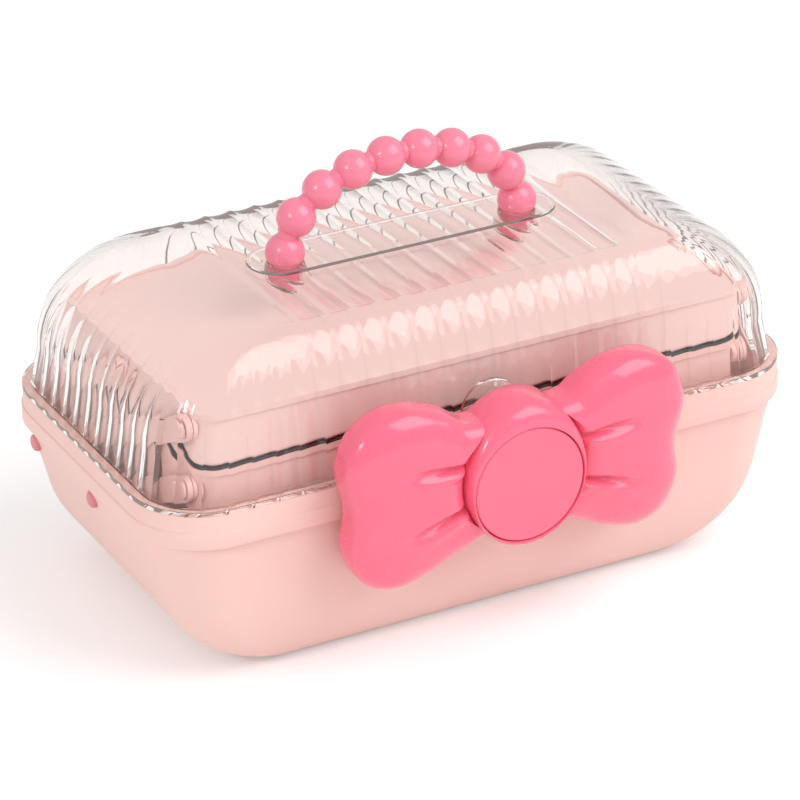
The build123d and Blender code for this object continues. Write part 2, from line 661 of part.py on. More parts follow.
def tub_pin(side, y, z):
    """Pin through the tub's end wall: domed head outside, collar inside the arm."""
    seat = spot_face_x()
    collar = ARM_INNER - ARM_GAP
    shank = rod_x(PIN_DIAMETER / 2, side * collar, side * seat, y, z)
    keeper = rod_x(PIN_HEAD / 2, side * (collar - KEEPER), side * collar, y, z)
    head = pin_head(side, seat, TUB_PIN_HEAD_HEIGHT, TUB_PIN_HEAD_ROUND, y, z)
    return shank + keeper + head


def make_tub_pivot_pins():
    pins = [tub_pin(side, y, z) for side in (-1, 1) for y, z in tub_pivots()]
    return Compound(children=pins)


def make_hinge_pins():
    """Two steel pins, one in each lid hinge."""
    half = KNUCKLE_WIDTH / 2 + HINGE_SIDE_GAP + LUG_WIDTH
    pins = []
    for side in (-1, 1):
        x = side * HINGE_X
        pin = rod_x(HINGE_PIN / 2, x - half, x + half, HINGE_Y, RIM_HEIGHT)
        pins.append(chamfer(pin.edges().filter_by(GeomType.CIRCLE), 0.3))
    return Compound(children=pins)


# ---- bow and catch ---------------------------------------------------------------------
def lobe_outline(side, inset):
    """One lobe of the bow in XZ round the middle of the bow, from the knot outwards."""
    half_x = BOW_LENGTH / 2 - inset
    half_z = BOW_HEIGHT / 2 - inset
    low = half_z + LOBE_DROP
    root = BOW_HEIGHT * BOW_ROOT - inset
    notch = half_x - 4.5
    points = [
        (0, root),
        (KNOT_WIDTH * 0.42, root + 2),
        (half_x * 0.62, half_z),
        (half_x * 0.93, half_z * 0.78),
        (half_x, half_z * 0.36),
        (notch, -half_z * 0.2),
        (half_x * 0.965, -low * 0.62),
        (half_x * 0.72, -low),
        (KNOT_WIDTH * 0.42, -root - 6),
        (0, -root - 4),
    ]
    points = [(side * x, BOW_CENTRE + z) for x, z in points]
    with BuildSketch(Plane.XZ) as lobe:
        with BuildLine():
            Spline(*points[1:-1])
            Line(points[-2], points[-1])
            Line(points[-1], points[0])
            Line(points[0], points[1])
        make_face()
    return lobe.sketch


def lobe(side):
    """One lobe, its front edge rounded by outlines that close in towards the front."""
    sections = [Pos(0, -BOW_BACK, 0) * lobe_outline(side, 0)]
    for step in range(LOBE_STEPS + 1):
        angle = math.radians(90 * step / LOBE_STEPS)
        y = BOW_FRONT - LOBE_ROUND * (1 - math.sin(angle))
        inset = LOBE_ROUND * (1 - math.cos(angle))
        sections.append(Pos(0, -y, 0) * lobe_outline(side, inset))
    return loft(sections, ruled=True)


def lobe_pair(inset, height):
    """Both lobes as one flat slab in front of the bow's back plane."""
    pair = Part()
    for side in (-1, 1):
        pair += extrude(Pos(0, -BOW_BACK, 0) * lobe_outline(side, inset), height)
    return pair


def knot_slab(inset, height):
    """Oval slab in front of the bow's back plane."""
    oval = Ellipse(KNOT_WIDTH / 2 - inset, KNOT_HEIGHT / 2 - inset)
    return extrude(Plane.XZ.offset(BOW_BACK) * (Pos(0, BOW_CENTRE) * oval), height)


def knot():
    """Upright rounded knot in the middle of the bow."""
    body = knot_slab(0, KNOT_FRONT - BOW_BACK)
    return fillet(body.faces().sort_by(Axis.Y)[0].edges(), KNOT_ROUND)


def screw_places():
    """The four fixing screws of the bow, as (x, z)."""
    return [(side * SCREW_X, z) for side in (-1, 1) for z in (BAND_SCREW_Z, WALL_SCREW_Z)]


def make_bow_shell():
    """Hollow bow: two lobes and a knot with a round well for the button."""
    well_radius = BUTTON_DIAMETER / 2 + BUTTON_GAP
    well = rod_y(well_radius, -BOW_BACK - 1, -KNOT_FRONT - 1, 0, BUTTON_HEIGHT)
    hollow = lobe_pair(BOW_WALL, BOW_THICKNESS - BOW_FRONT_WALL)
    hollow += knot_slab(BOW_WALL, KNOT_FRONT - BOW_FRONT_WALL - BOW_BACK)
    shell = lobe(-1) + lobe(1) + knot() - well - hollow
    bore = SCREW_DIAMETER / 2 + SEAT_GAP
    for x, z in screw_places():
        shell += rod_y(SPACER_DIAMETER / 2, -PLATE_FRONT - 0.1, -BOW_FRONT + BOW_WALL / 2, x, z)
        shell -= rod_y(bore, -BOW_BACK, -PLATE_FRONT - SCREW_BITE - 1, x, z)
    return shell


def spacer_reach(z):
    """Front face of the tub that a spacer of the back plate rests on."""
    if z > BAND_BOTTOM:
        return BAND_FACE + 0.02
    return tub_wall_y(z) + 0.3


def plate_spacers():
    """Spacers between the back plate and the tub, bored for the screws."""
    spacers = Part()
    for x, z in screw_places():
        spacers += rod_y(SPACER_DIAMETER / 2, -spacer_reach(z), -BOW_BACK - 0.5, x, z)
    return spacers


def hook_ears():
    """Two ears on the plate with the bore of the hook's pin between them."""
    ears = Part()
    inner = HOOK_WIDTH / 2 + EAR_GAP
    for side in (-1, 1):
        ears += block(
            side * inner, side * (inner + EAR_THICKNESS),
            -PLATE_FRONT + 0.5, -HOOK_PIVOT_Y - HOOK_HUB,
            HOOK_PIVOT_Z - HOOK_HUB, HOOK_PIVOT_Z + HOOK_HUB,
        )
    reach = inner + EAR_THICKNESS + 1
    return ears - rod_x(HOOK_PIN / 2 + SEAT_GAP, -reach, reach, -HOOK_PIVOT_Y, HOOK_PIVOT_Z)


def make_bow_back_plate():
    """Plate that closes the bow, with spacers to the tub, button guides and ears for the hook."""
    inset = BOW_WALL + BACK_PLATE_GAP
    plate = lobe_pair(inset, BACK_PLATE) + knot_slab(inset, BACK_PLATE) + plate_spacers()
    for x, z in screw_places():
        hole = SCREW_DIAMETER / 2 + SCREW_CLEARANCE
        plate -= rod_y(hole, -HALF_DEPTH + 10, -PLATE_FRONT - 1, x, z)
    for side in (-1, 1):
        x = side * GUIDE_X
        tip = -PLATE_FRONT - SLEEVE_LENGTH
        bore = GUIDE_DIAMETER / 2 + GUIDE_GAP
        plate += rod_y(bore + SLEEVE_WALL, -PLATE_FRONT + 0.5, tip, x, BUTTON_HEIGHT)
        plate -= rod_y(bore, -PLATE_FRONT, tip - 1, x, BUTTON_HEIGHT)
    half = HOOK_WIDTH / 2 + EAR_GAP
    slot_low = HOOK_PIVOT_Z - HOOK_LOWER - 1.0
    slot_high = HOOK_PIVOT_Z + HOOK_UPPER + HOOK_NOSE / 2 + 1.5
    plate -= block(-half, half, -BOW_BACK + 1, -PLATE_FRONT - 0.01, slot_low, slot_high)
    post_radius = (SPRING_DIAMETER - SPRING_WIRE) / 2 - POST_GAP
    post = rod_y(post_radius, -PLATE_FRONT + 0.5, -PLATE_FRONT - POST_LENGTH, 0, SPRING_Z)
    return plate + hook_ears() + post


def make_bow_screws():
    """Four screws from inside the tub through its wall and the plate into the bow."""
    screws = []
    for x, z in screw_places():
        seat = BAND_FACE - TUB_SETBACK - TUB_WALL
        if z < BAND_BOTTOM:
            seat = tub_wall_y(z - SCREW_HEAD / 2) - TUB_WALL - 0.2
        shank = rod_y(SCREW_DIAMETER / 2, -seat, -PLATE_FRONT - SCREW_BITE, x, z)
        head = rod_y(SCREW_HEAD / 2, -seat + SCREW_HEAD_HEIGHT, -seat, x, z)
        recess = Pos(x, -seat + SCREW_HEAD_HEIGHT, z) * Rot(90, 0, 0) * cross_recess()
        screws.append(shank + head - recess)
    return Compound(children=screws)


def make_latch_button():
    """Round push button with two guide posts, a spring cup and the blade that tips the hook."""
    root = -BUTTON_REAR - 0.5
    disc = rod_y(BUTTON_DIAMETER / 2, -BUTTON_REAR, -BUTTON_FACE, 0, BUTTON_HEIGHT)
    disc = fillet(disc.faces().sort_by(Axis.Y)[0].edges(), BUTTON_ROUND)
    guide_end = -PLATE_FRONT - BUTTON_TRAVEL - 0.6
    for side in (-1, 1):
        disc += rod_y(GUIDE_DIAMETER / 2, root, guide_end, side * GUIDE_X, BUTTON_HEIGHT)
    hollow = (SPRING_DIAMETER + SPRING_WIRE) / 2 + POST_GAP
    cup = rod_y(hollow + CUP_WALL, root, -BUTTON_REAR + CUP_DEPTH, 0, SPRING_Z)
    cup -= rod_y(hollow, -BUTTON_REAR, -BUTTON_REAR + CUP_DEPTH + 1, 0, SPRING_Z)
    blade_z = HOOK_PIVOT_Z - HOOK_LOWER + BLADE_HALF_WIDTH / 2
    blade_end = -HOOK_PIVOT_Y - HOOK_THICKNESS / 2 - 0.5
    low = blade_z - BLADE_THICKNESS / 2
    blade = block(-BLADE_HALF_WIDTH, BLADE_HALF_WIDTH, root, blade_end, low, low + BLADE_THICKNESS)
    return disc + cup + blade


def make_button_spring():
    """Open coil between the plate and the button."""
    length = BUTTON_REAR - PLATE_FRONT - SPRING_WIRE - 2 * SPRING_END_GAP
    coil = Helix(length / SPRING_TURNS, length, SPRING_DIAMETER / 2)
    start = Plane(origin=coil @ 0, z_dir=coil % 0)
    wire = sweep(start * Circle(SPRING_WIRE / 2), path=coil, is_frenet=True)
    back = PLATE_FRONT + SPRING_WIRE / 2 + SPRING_END_GAP
    return Pos(0, -back, SPRING_Z) * Rot(90, 0, 0) * wire


def make_latch_hook():
    """Rocking hook: the button pushes its lower end, its upper end carries the nose."""
    half = HOOK_WIDTH / 2
    low = HOOK_PIVOT_Z - HOOK_LOWER
    high = HOOK_PIVOT_Z + HOOK_UPPER + HOOK_NOSE / 2
    back = HOOK_PIVOT_Y - HOOK_THICKNESS / 2
    front = HOOK_PIVOT_Y + HOOK_THICKNESS / 2
    bar = block(-half, half, -front, -back, low, high)
    nose = block(-half, half, -back - 1, -CATCH_FRONT - HOOK_CLEARANCE, high - HOOK_NOSE, high)
    hub = rod_x(HOOK_HUB, -half, half, -HOOK_PIVOT_Y, HOOK_PIVOT_Z)
    bore = rod_x(HOOK_PIN / 2 + RUNNING_GAP, -half - 1, half + 1, -HOOK_PIVOT_Y, HOOK_PIVOT_Z)
    return bar + nose + hub - bore


def make_hook_pin():
    half = HOOK_WIDTH / 2 + EAR_GAP + EAR_THICKNESS
    return rod_x(HOOK_PIN / 2, -half, half, -HOOK_PIVOT_Y, HOOK_PIVOT_Z)


def main():
    os.makedirs("parts", exist_ok=True)
    write("tub", make_tub())
    write("lid", make_lid())
    write("hinge_pins", make_hinge_pins())
    write("handle", make_handle())
    write("handle_screws", make_handle_screws())
    write("lower_tray", make_lower_tray())
    write("lower_tray_dividers", make_lower_tray_dividers())
    write("upper_tray", make_upper_tray())
    write("upper_tray_cover", make_upper_tray_cover())
    write("tub_pivot_pins", make_tub_pivot_pins())
    write("lower_tray_pins", make_tray_pins(lower_pivots()))
    write("upper_tray_pins", make_tray_pins(upper_pivots()))
    for side, hand in ((-1, "left"), (1, "right")):
        write(f"long_arm_{hand}", make_arm(side, (REAR_PIVOT_Y, TUB_PIVOT_Z), 2))
        write(f"lower_arm_{hand}", make_arm(side, (FRONT_PIVOT_Y, TUB_PIVOT_Z), 1))
        write(f"upper_arm_{hand}", make_arm(side, lower_pivots()[-1], 1))
    write("bow_shell", make_bow_shell())
    write("bow_back_plate", make_bow_back_plate())
    write("bow_screws", make_bow_screws())
    write("latch_button", make_latch_button())
    write("button_spring", make_button_spring())
    write("latch_hook", make_latch_hook())
    write("hook_pin", make_hook_pin())


main()
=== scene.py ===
# %% [markdown]
# # A make-up carrying case, finished in Blender
#
# The case is already drawn as solids and packed: tub, clear lid, two trays on arms, a beaded
# handle and a bow with a push button. This notebook keeps those solids where they are and makes
# the pieces whose looks need more: the fluted lid, the puffy bow, the beads, the soft rim.

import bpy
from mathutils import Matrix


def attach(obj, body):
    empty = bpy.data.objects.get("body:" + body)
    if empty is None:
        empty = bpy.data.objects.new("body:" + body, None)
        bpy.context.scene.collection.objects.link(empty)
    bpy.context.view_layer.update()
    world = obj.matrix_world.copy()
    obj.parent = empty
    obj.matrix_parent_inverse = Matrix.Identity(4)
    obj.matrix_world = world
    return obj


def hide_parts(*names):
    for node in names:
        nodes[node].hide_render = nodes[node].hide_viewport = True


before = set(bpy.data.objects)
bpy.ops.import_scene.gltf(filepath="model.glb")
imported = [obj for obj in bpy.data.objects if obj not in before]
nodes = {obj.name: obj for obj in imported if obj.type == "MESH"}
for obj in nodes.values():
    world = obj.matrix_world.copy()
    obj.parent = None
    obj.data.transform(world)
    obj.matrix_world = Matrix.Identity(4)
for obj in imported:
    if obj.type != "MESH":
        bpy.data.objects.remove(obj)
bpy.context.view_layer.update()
print("nodes of the packed case:", len(nodes))

# %% [markdown]
# ## How the new pieces are made
#
# Nearly every moulded piece here can be read as a row of rings: a tub is a row of rounded
# oblongs, a lobe of the bow is a row of ever smaller outlines. So one helper starts from a
# circle, extrudes it once for each ring, and lays every ring on its outline. Sizes are written
# in millimetres and turned into metres in one place.

# %% Ring stacks
import math

import bmesh
import bpy
import numpy as np
from mathutils import Matrix, Vector

MM = 0.001


def deselect():
    """Leave nothing selected, so that an operator acts on the new piece only."""
    bpy.ops.object.select_all(action="DESELECT")


def extruded_circle(name, count, times):
    """A circle of so many points, extruded so many times."""
    deselect()
    bpy.ops.mesh.primitive_circle_add(vertices=count, radius=0.05, fill_type="NOTHING")
    piece = bpy.context.object
    piece.name = piece.data.name = name
    bpy.ops.object.mode_set(mode="EDIT")
    bpy.ops.mesh.select_all(action="SELECT")
    for _ in range(times):
        bpy.ops.mesh.extrude_region_move(TRANSFORM_OT_translate={"value": (0, 0, MM)})
    bpy.ops.object.mode_set(mode="OBJECT")
    return piece


def lay_on(piece, rings):
    """Move the points of an extruded circle onto its rings; returns each ring's point numbers."""
    mesh = piece.data
    count = len(rings[0])
    following = {}
    for edge in mesh.edges:
        low, high = sorted(edge.vertices)
        if low // count != high // count:
            following[low] = high
    places = np.zeros((len(mesh.vertices), 3))
    chains = [list(range(count))]
    for _ in rings[1:]:
        chains.append([following[i] for i in chains[-1]])
    for chain, ring in zip(chains, rings):
        places[chain] = np.asarray(ring, float) * MM
    mesh.vertices.foreach_set("co", places.ravel())
    mesh.update()
    return chains


def pick(piece, numbers):
    """Go into edit mode with only these points selected."""
    bpy.context.view_layer.objects.active = piece
    bpy.ops.object.mode_set(mode="EDIT")
    bpy.ops.mesh.select_mode(type="VERT")
    bpy.ops.mesh.select_all(action="DESELECT")
    sheet = bmesh.from_edit_mesh(piece.data)
    sheet.verts.ensure_lookup_table()
    for number in numbers:
        sheet.verts[number].select = True
    sheet.select_flush(True)
    bmesh.update_edit_mesh(piece.data)


def fill(piece, numbers):
    """Close one ring with a flat face."""
    pick(piece, numbers)
    bpy.ops.mesh.edge_face_add()
    bpy.ops.object.mode_set(mode="OBJECT")


def outward(piece):
    """Turn all faces of a closed piece outwards."""
    bpy.context.view_layer.objects.active = piece
    bpy.ops.object.mode_set(mode="EDIT")
    bpy.ops.mesh.select_all(action="SELECT")
    bpy.ops.mesh.normals_make_consistent(inside=False)
    bpy.ops.object.mode_set(mode="OBJECT")


def ring_stack(name, rings, closed=False):
    """A closed piece from a row of rings: its ends are filled, or joined to each other."""
    piece = extruded_circle(name, len(rings[0]), len(rings) - 1)
    chains = lay_on(piece, rings)
    if closed:
        pick(piece, chains[0] + chains[-1])
        bpy.ops.mesh.bridge_edge_loops()
        bpy.ops.object.mode_set(mode="OBJECT")
    else:
        fill(piece, chains[0])
        fill(piece, chains[-1])
    outward(piece)
    return piece


def join(name, pieces):
    """Several shells as one piece."""
    deselect()
    for piece in pieces:
        piece.select_set(True)
    bpy.context.view_layer.objects.active = pieces[0]
    if len(pieces) > 1:
        bpy.ops.object.join()
    pieces[0].name = pieces[0].data.name = name
    return pieces[0]


# %% [markdown]
# ## Outlines
#
# A rounded oblong has four straight runs and four round corners. Each ring has the same number
# of points in the same order, so neighbouring rings join up without a twist.

# %% Outlines
def rounded(half_x, half_y, radius, z, runs=(40, 24), corner=14):
    """Points of a rounded oblong at one height, anticlockwise from the front left."""
    flat_x = half_x - radius
    flat_y = half_y - radius
    starts = [(-flat_x, -half_y), (half_x, -flat_y), (flat_x, half_y), (-half_x, flat_y)]
    lengths = [(2 * flat_x, 0), (0, 2 * flat_y), (-2 * flat_x, 0), (0, -2 * flat_y)]
    centres = [(flat_x, -flat_y), (flat_x, flat_y), (-flat_x, flat_y), (-flat_x, -flat_y)]
    points = []
    for side in range(4):
        steps = runs[side % 2]
        for step in range(steps):
            share = step / steps
            x = starts[side][0] + lengths[side][0] * share
            y = starts[side][1] + lengths[side][1] * share
            points.append((x, y, z))
        for step in range(corner):
            angle = math.radians(90 * (side - 1) + 90 * step / corner)
            x = centres[side][0] + radius * math.cos(angle)
            y = centres[side][1] + radius * math.sin(angle)
            points.append((x, y, z))
    return points


def circle(radius, count):
    """Points of a circle round the origin, as pairs."""
    turn = 2 * math.pi / count
    return [(radius * math.cos(turn * n), radius * math.sin(turn * n)) for n in range(count)]


def disc_ring(radius, z, x=0.0, count=48):
    """Points of a level circle."""
    return [(x + a, b, z) for a, b in circle(radius, count)]


def rod_ring(radius, x, y, z, count=32):
    """Points of a circle round a line along X."""
    return [(x, y + a, z + b) for a, b in circle(radius, count)]


def smooth(value, low, high):
    """0 below low, 1 above high, and an easy slope between."""
    share = min(max((value - low) / (high - low), 0.0), 1.0)
    return share * share * (3 - 2 * share)


# %% [markdown]
# ## Writing shaders as sums
#
# A material is a small flow chart of nodes. Wiring each sum by hand is slow to read, so one
# class wraps a number socket and gives it the usual signs, and one method adds any other node.

# %% A desk for building materials
class Number:
    """A number that the shader works out; + - * add Math nodes."""

    def __init__(self, desk, socket):
        self.desk = desk
        self.socket = socket

    def sum(self, operation, first, second):
        node = self.desk.add("ShaderNodeMath", {"operation": operation}, {0: first, 1: second})
        return Number(self.desk, node.outputs[0])

    def __add__(self, other):
        return self.sum("ADD", self, other)

    def __radd__(self, other):
        return self.sum("ADD", other, self)

    def __sub__(self, other):
        return self.sum("SUBTRACT", self, other)

    def __mul__(self, other):
        return self.sum("MULTIPLY", self, other)

    def highest(self, other):
        return self.sum("MAXIMUM", self, other)

    def lowest(self, other):
        return self.sum("MINIMUM", self, other)

    def above(self, other):
        """1 where this is more than the other, else 0."""
        return self.sum("GREATER_THAN", self, other)


class Desk:
    """One material and the method that adds its nodes."""

    def __init__(self, name):
        self.material = bpy.data.materials.new(name)
        self.material.use_nodes = True
        self.tree = self.material.node_tree
        self.tree.nodes.clear()

    def add(self, kind, settings=None, values=None):
        """A node of this kind; settings are set first, then its sockets get values or links."""
        node = self.tree.nodes.new(kind)
        for key, value in (settings or {}).items():
            setattr(node, key, value)
        for key, value in (values or {}).items():
            source = value.socket if isinstance(value, Number) else value
            if isinstance(source, bpy.types.NodeSocket):
                self.tree.links.new(source, node.inputs[key])
            else:
                node.inputs[key].default_value = source
        return node

    def place(self):
        """Object coordinates, in metres."""
        return self.add("ShaderNodeTexCoord").outputs["Object"]

    def noise(self, scale, detail=2.0, where=None):
        """Soft noise between 0 and 1, with so many lumps to a metre."""
        source = where or self.place()
        values = {"Vector": source, "Scale": scale, "Detail": detail}
        node = self.add("ShaderNodeTexNoise", {"noise_dimensions": "3D"}, values)
        return Number(self, node.outputs["Fac"])

    def blend(self, share, first, second):
        """A colour between two colours."""
        node = self.add("ShaderNodeMix", {"data_type": "RGBA"}, {0: share, 6: first, 7: second})
        return node.outputs[2]

    def bump(self, height, distance, strength=1.0):
        """A normal tilted by a height, in metres."""
        values = {"Height": height, "Distance": distance, "Strength": strength}
        return self.add("ShaderNodeBump", {}, values).outputs["Normal"]

    def finish(self, shader):
        """Send a shader to the surface."""
        self.add("ShaderNodeOutputMaterial", {}, {"Surface": shader})
        return self.material


def ink(red, green, blue):
    """A screen colour, 0 to 255, as the light that a shader works with."""
    light = []
    for value in (red, green, blue):
        value = value / 255
        light.append(value / 12.92 if value <= 0.04045 else ((value + 0.055) / 1.055) ** 2.4)
    return (*light, 1.0)


# %% [markdown]
# ## Moulded plastic
#
# Tub, trays and arms are injection moulded in one pink that is coloured through; the upper
# tray's lighter pink below is painted light. The mould gives a faint satin grain, a little
# unevenness in the gloss, and a colour that is very slightly cloudy. Those three are all it
# needs: noise at two scales for colour and gloss, and a grain of a few hundredths of a millimetre
# as bump.

# %% Moulded plastic
def moulded(name, colour, shade, roughness, grain, coat=0.0):
    """Plastic with cloudy colour between two tones, uneven gloss and a fine grain."""
    desk = Desk(name)
    where = desk.place()
    cloud = desk.noise(28.0, 3.0, where)
    fine = desk.noise(2600.0, 2.0, where)
    tone = desk.blend(cloud, ink(*colour), ink(*shade))
    gloss = roughness + (cloud - 0.5) * 0.10 + (fine - 0.5) * 0.05
    normal = desk.bump(fine, grain)
    values = {
        "Base Color": tone,
        "Roughness": gloss,
        "Normal": normal,
        "Coat Weight": coat,
        "Coat Roughness": 0.08,
        "IOR": 1.47,
    }
    shader = desk.add("ShaderNodeBsdfPrincipled", {}, values)
    return desk.finish(shader.outputs[0])


shell_pink = moulded("shell_pink_satin", (251, 211, 201), (249, 205, 196), 0.42, 0.00002)
tray_pink = moulded("tray_pink_satin", (251, 213, 207), (249, 208, 203), 0.45, 0.00002)
# painted light: the upper tray and its cover get a lighter copy of the tray pink for the light on
# the top tray, while the lower tray keeps the darker pink that matches its shade
painted_lit_tray_pink = moulded("upper_tray_pink_painted_lit", (255, 225, 220), (253, 219, 215), 0.42, 0.00002)
pin_pink = moulded("pin_pink_satin", (226, 140, 146), (218, 130, 138), 0.35, 0.00001)
inner_white = moulded("inner_white_plain", (240, 232, 232), (234, 226, 226), 0.5, 0.00003)
print("moulded plastics:", shell_pink.name, tray_pink.name, painted_lit_tray_pink.name, pin_pink.name)

# %% [markdown]
# ## Glossy bow and satin beads
#
# The bow is the same kind of plastic in a deep warm pink, polished: a hard gloss with sharp
# small lights in it. The beads are a little less shiny, and the push button in the bow is the
# bow's pink with a softer face. A thin coat over a rougher base gives both lights at once.

# %% Glossy bow and satin beads
bow_pink = moulded("bow_pink_gloss", (255, 112, 142), (252, 104, 134), 0.28, 0.000004, 0.6)
button_pink = moulded(
    "button_pink_soft_gloss", (255, 122, 147), (253, 114, 141), 0.38, 0.00001, 0.15
)
bead_pink = moulded("bead_pink_gloss", (251, 139, 164), (248, 131, 158), 0.26, 0.000004, 0.5)

# %% [markdown]
# ## Steel
#
# Screws, hinge pins and the spring are plain drawn steel: metallic, with fine lines left by the
# die. Noise that is stretched along X gives the lines, and they only change the roughness.

# %% Steel
def drawn_steel():
    desk = Desk("steel_drawn")
    values = {"Vector": desk.place(), "Scale": (200.0, 3000.0, 3000.0)}
    stretched = desk.add("ShaderNodeMapping", {}, values)
    lines = desk.noise(1.0, 2.0, stretched.outputs[0])
    tone = desk.blend(lines, ink(196, 196, 200), ink(220, 220, 224))
    values = {"Base Color": tone, "Metallic": 1.0, "Roughness": 0.22 + lines * 0.2}
    shader = desk.add("ShaderNodeBsdfPrincipled", {}, values)
    return desk.finish(shader.outputs[0])


steel = drawn_steel()

# %% [markdown]
# ## Clear plastic
#
# The lid is clear styrene. Its look comes from real thickness: light bends at the fluted outer
# skin and again at the smooth inner one, which is what turns straight lines behind it into
# zigzags. A path tracer gets no lamp light through bending surfaces, so rays that only ask for
# shadow or soft light go straight through, a little dimmed. A ray that has been thrown about
# inside the flutes many times would end black, so it ends in a glow instead: painted light, a
# soft brown grey emission in place of the room's light that thin outlines of clear plastic show
# in a light room.

# %% Clear plastic
def clear_plastic():
    desk = Desk("lid_clear_plastic")
    cloud = desk.noise(40.0, 2.0)
    tone = desk.blend(cloud, ink(255, 252, 250), ink(254, 249, 247))
    values = {
        "Base Color": tone,
        "Roughness": 0.012 + cloud * 0.012,
        "Transmission Weight": 1.0,
        "IOR": 1.46,
    }
    glass = desk.add("ShaderNodeBsdfPrincipled", {}, values)
    path = desk.add("ShaderNodeLightPath")
    shadow = Number(desk, path.outputs["Is Shadow Ray"])
    soft = Number(desk, path.outputs["Is Diffuse Ray"])
    through = desk.add("ShaderNodeBsdfTransparent", {}, {"Color": (0.96, 0.94, 0.93, 1.0)})
    values = {0: shadow.highest(soft), 1: glass.outputs[0], 2: through.outputs[0]}
    mixed = desk.add("ShaderNodeMixShader", {}, values)
    depth = Number(desk, path.outputs["Ray Depth"])
    mirrored = Number(desk, path.outputs["Glossy Depth"])
    lost = depth.above(7.5).highest(mirrored.above(2.5))
    # painted light: a brown grey glow on paths that have bounced too often inside the lid
    room = desk.add("ShaderNodeEmission", {}, {"Color": ink(146, 130, 126), "Strength": 1.0})
    values = {0: lost, 1: mixed.outputs[0], 2: room.outputs[0]}
    ended = desk.add("ShaderNodeMixShader", {}, values)
    return desk.finish(ended.outputs[0])


lid_clear = clear_plastic()

# %% [markdown]
# ## Giving a piece its place in the case
#
# A finished piece gets its material, a shading that stays sharp only at real edges and the body
# it moves with, and the solid it stands for is hidden.

# %% Settle a piece
def settle(piece, body, material, angle=35.0, stands_for=()):
    """Material, shading and moving body of a finished piece; hides the solids it stands for."""
    piece.data.materials.clear()
    piece.data.materials.append(material)
    deselect()
    piece.select_set(True)
    bpy.context.view_layer.objects.active = piece
    bpy.ops.object.shade_smooth_by_angle(angle=math.radians(angle))
    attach(piece, body)
    if stands_for:
        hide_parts(*stands_for)
    piece.select_set(False)
    print(piece.name, len(piece.data.polygons), "faces")
    return piece


# %% [markdown]
# ## Tub
#
# A deep moulding with leaning ends and a big round underneath, and a band round its mouth that
# stands a little proud and steps back half-way up. The row of rings starts at the inside floor,
# climbs the inner wall, rolls over the rim, goes down the band and the outer wall and ends in
# the flat underside, so the tub is one closed skin with a real wall.

# %% Tub
RIM = 78.0
BAND_LOW = 64.0
WALL = 2.2
TUB_FOOT = (137.9, 72.9, 26.4)      # half length, half depth and corner at the band's foot
BAND_HALF, BAND_DEPTH, BAND_CORNER = 140.0, 75.0, 29.0
ROUND_HEIGHT = 34.0                 # the wall's round starts this far above the underside


def tub_inset(z, draft, width):
    """How far the wall stands inside the band's foot: a lean, then an oval round."""
    lean = math.tan(math.radians(draft)) * (BAND_LOW - z)
    if z >= ROUND_HEIGHT:
        return lean
    drop = (ROUND_HEIGHT - z) / ROUND_HEIGHT
    return lean + width * (1 - math.sqrt(1 - drop * drop))


def tub_ring(level, inset, z):
    """One ring of the tub's wall, inset from its outer face."""
    half_x = TUB_FOOT[0] - tub_inset(level, 16.0, 31.0) - inset
    half_y = TUB_FOOT[1] - tub_inset(level, 2.4, 17.0) - inset
    radius = 17.0 + 9.4 * level / BAND_LOW - inset
    return rounded(half_x, half_y, radius, z)


def tub_rings():
    levels = [ROUND_HEIGHT * (1 - math.cos(math.radians(90 * n / 18))) for n in range(19)]
    levels += [44.0, 54.0]
    rings = []
    for level in levels + [BAND_LOW]:
        rings.append(tub_ring(level, WALL, WALL + level * (BAND_LOW - WALL) / BAND_LOW))
    mouth = [v - WALL for v in TUB_FOOT]
    rings.append(rounded(*mouth, RIM - 0.6))
    rings.append(rounded(*[v + 0.18 for v in mouth], RIM - 0.18))
    rings.append(rounded(*[v + 0.6 for v in mouth], RIM))
    band = [(139.3, RIM), (139.72, RIM - 0.18), (139.9, RIM - 0.6), (139.9, 71.25)]
    band += [(140.0, 71.05), (140.25, 71.0), (140.42, 70.93), (140.5, 70.7)]
    band += [(140.5, 65.0), (140.37, 64.5), (140.0, 64.13), (139.5, 64.0)]
    for half_x, z in band:
        out = half_x - BAND_HALF
        rings.append(rounded(half_x, BAND_DEPTH + out, BAND_CORNER + out, z))
    rings.append(rounded(*[v + 0.5 for v in TUB_FOOT], BAND_LOW))
    rings.append(rounded(*[v + 0.12 for v in TUB_FOOT], BAND_LOW - 0.15))
    for level in reversed(levels):
        rings.append(tub_ring(level, 0.0, level))
    return rings


tub = ring_stack("tub_shell", tub_rings())
settle(tub, "case", shell_pink, 30.0, ("tub",))

# %% [markdown]
# Inside the end walls four round bosses carry the pins of the arms, and at the rear four lugs
# hold the hinge pins. They are small turned or rounded pieces, so each is a short row of rings,
# modelled once and copied to its other places.

# %% Bosses and hinge lugs
HINGE_X, HINGE_Y = 85.0, 79.3
HINGE_EYE = 3.39
BOSS_Y, BOSS_Z = 50.4, 55.6
BOSS_STEP = 52.4                    # from the rear boss to the front one
LUG_MIDDLE = np.array([77.5, 74.5])
LUG_ROOT = 75.1                     # just inside the band's face
LUG_STEP = 21.6                     # from a hinge's outer lug to its inner one


def copy_to(piece, name, matrix):
    """A copy with its own mesh, moved or mirrored in that mesh."""
    twin = piece.copy()
    twin.data = piece.data.copy()
    twin.name = twin.data.name = name
    bpy.context.collection.objects.link(twin)
    twin.data.transform(matrix)
    if matrix.determinant() < 0:
        outward(twin)
    return twin


def tub_boss():
    """Boss at the left end, round the rear pivot, sunk into the leaning wall."""
    profile = [(5.0, -134.2), (5.0, -122.9), (4.6, -122.5)]
    return ring_stack("boss", [rod_ring(radius, x, BOSS_Y, BOSS_Z) for radius, x in profile])


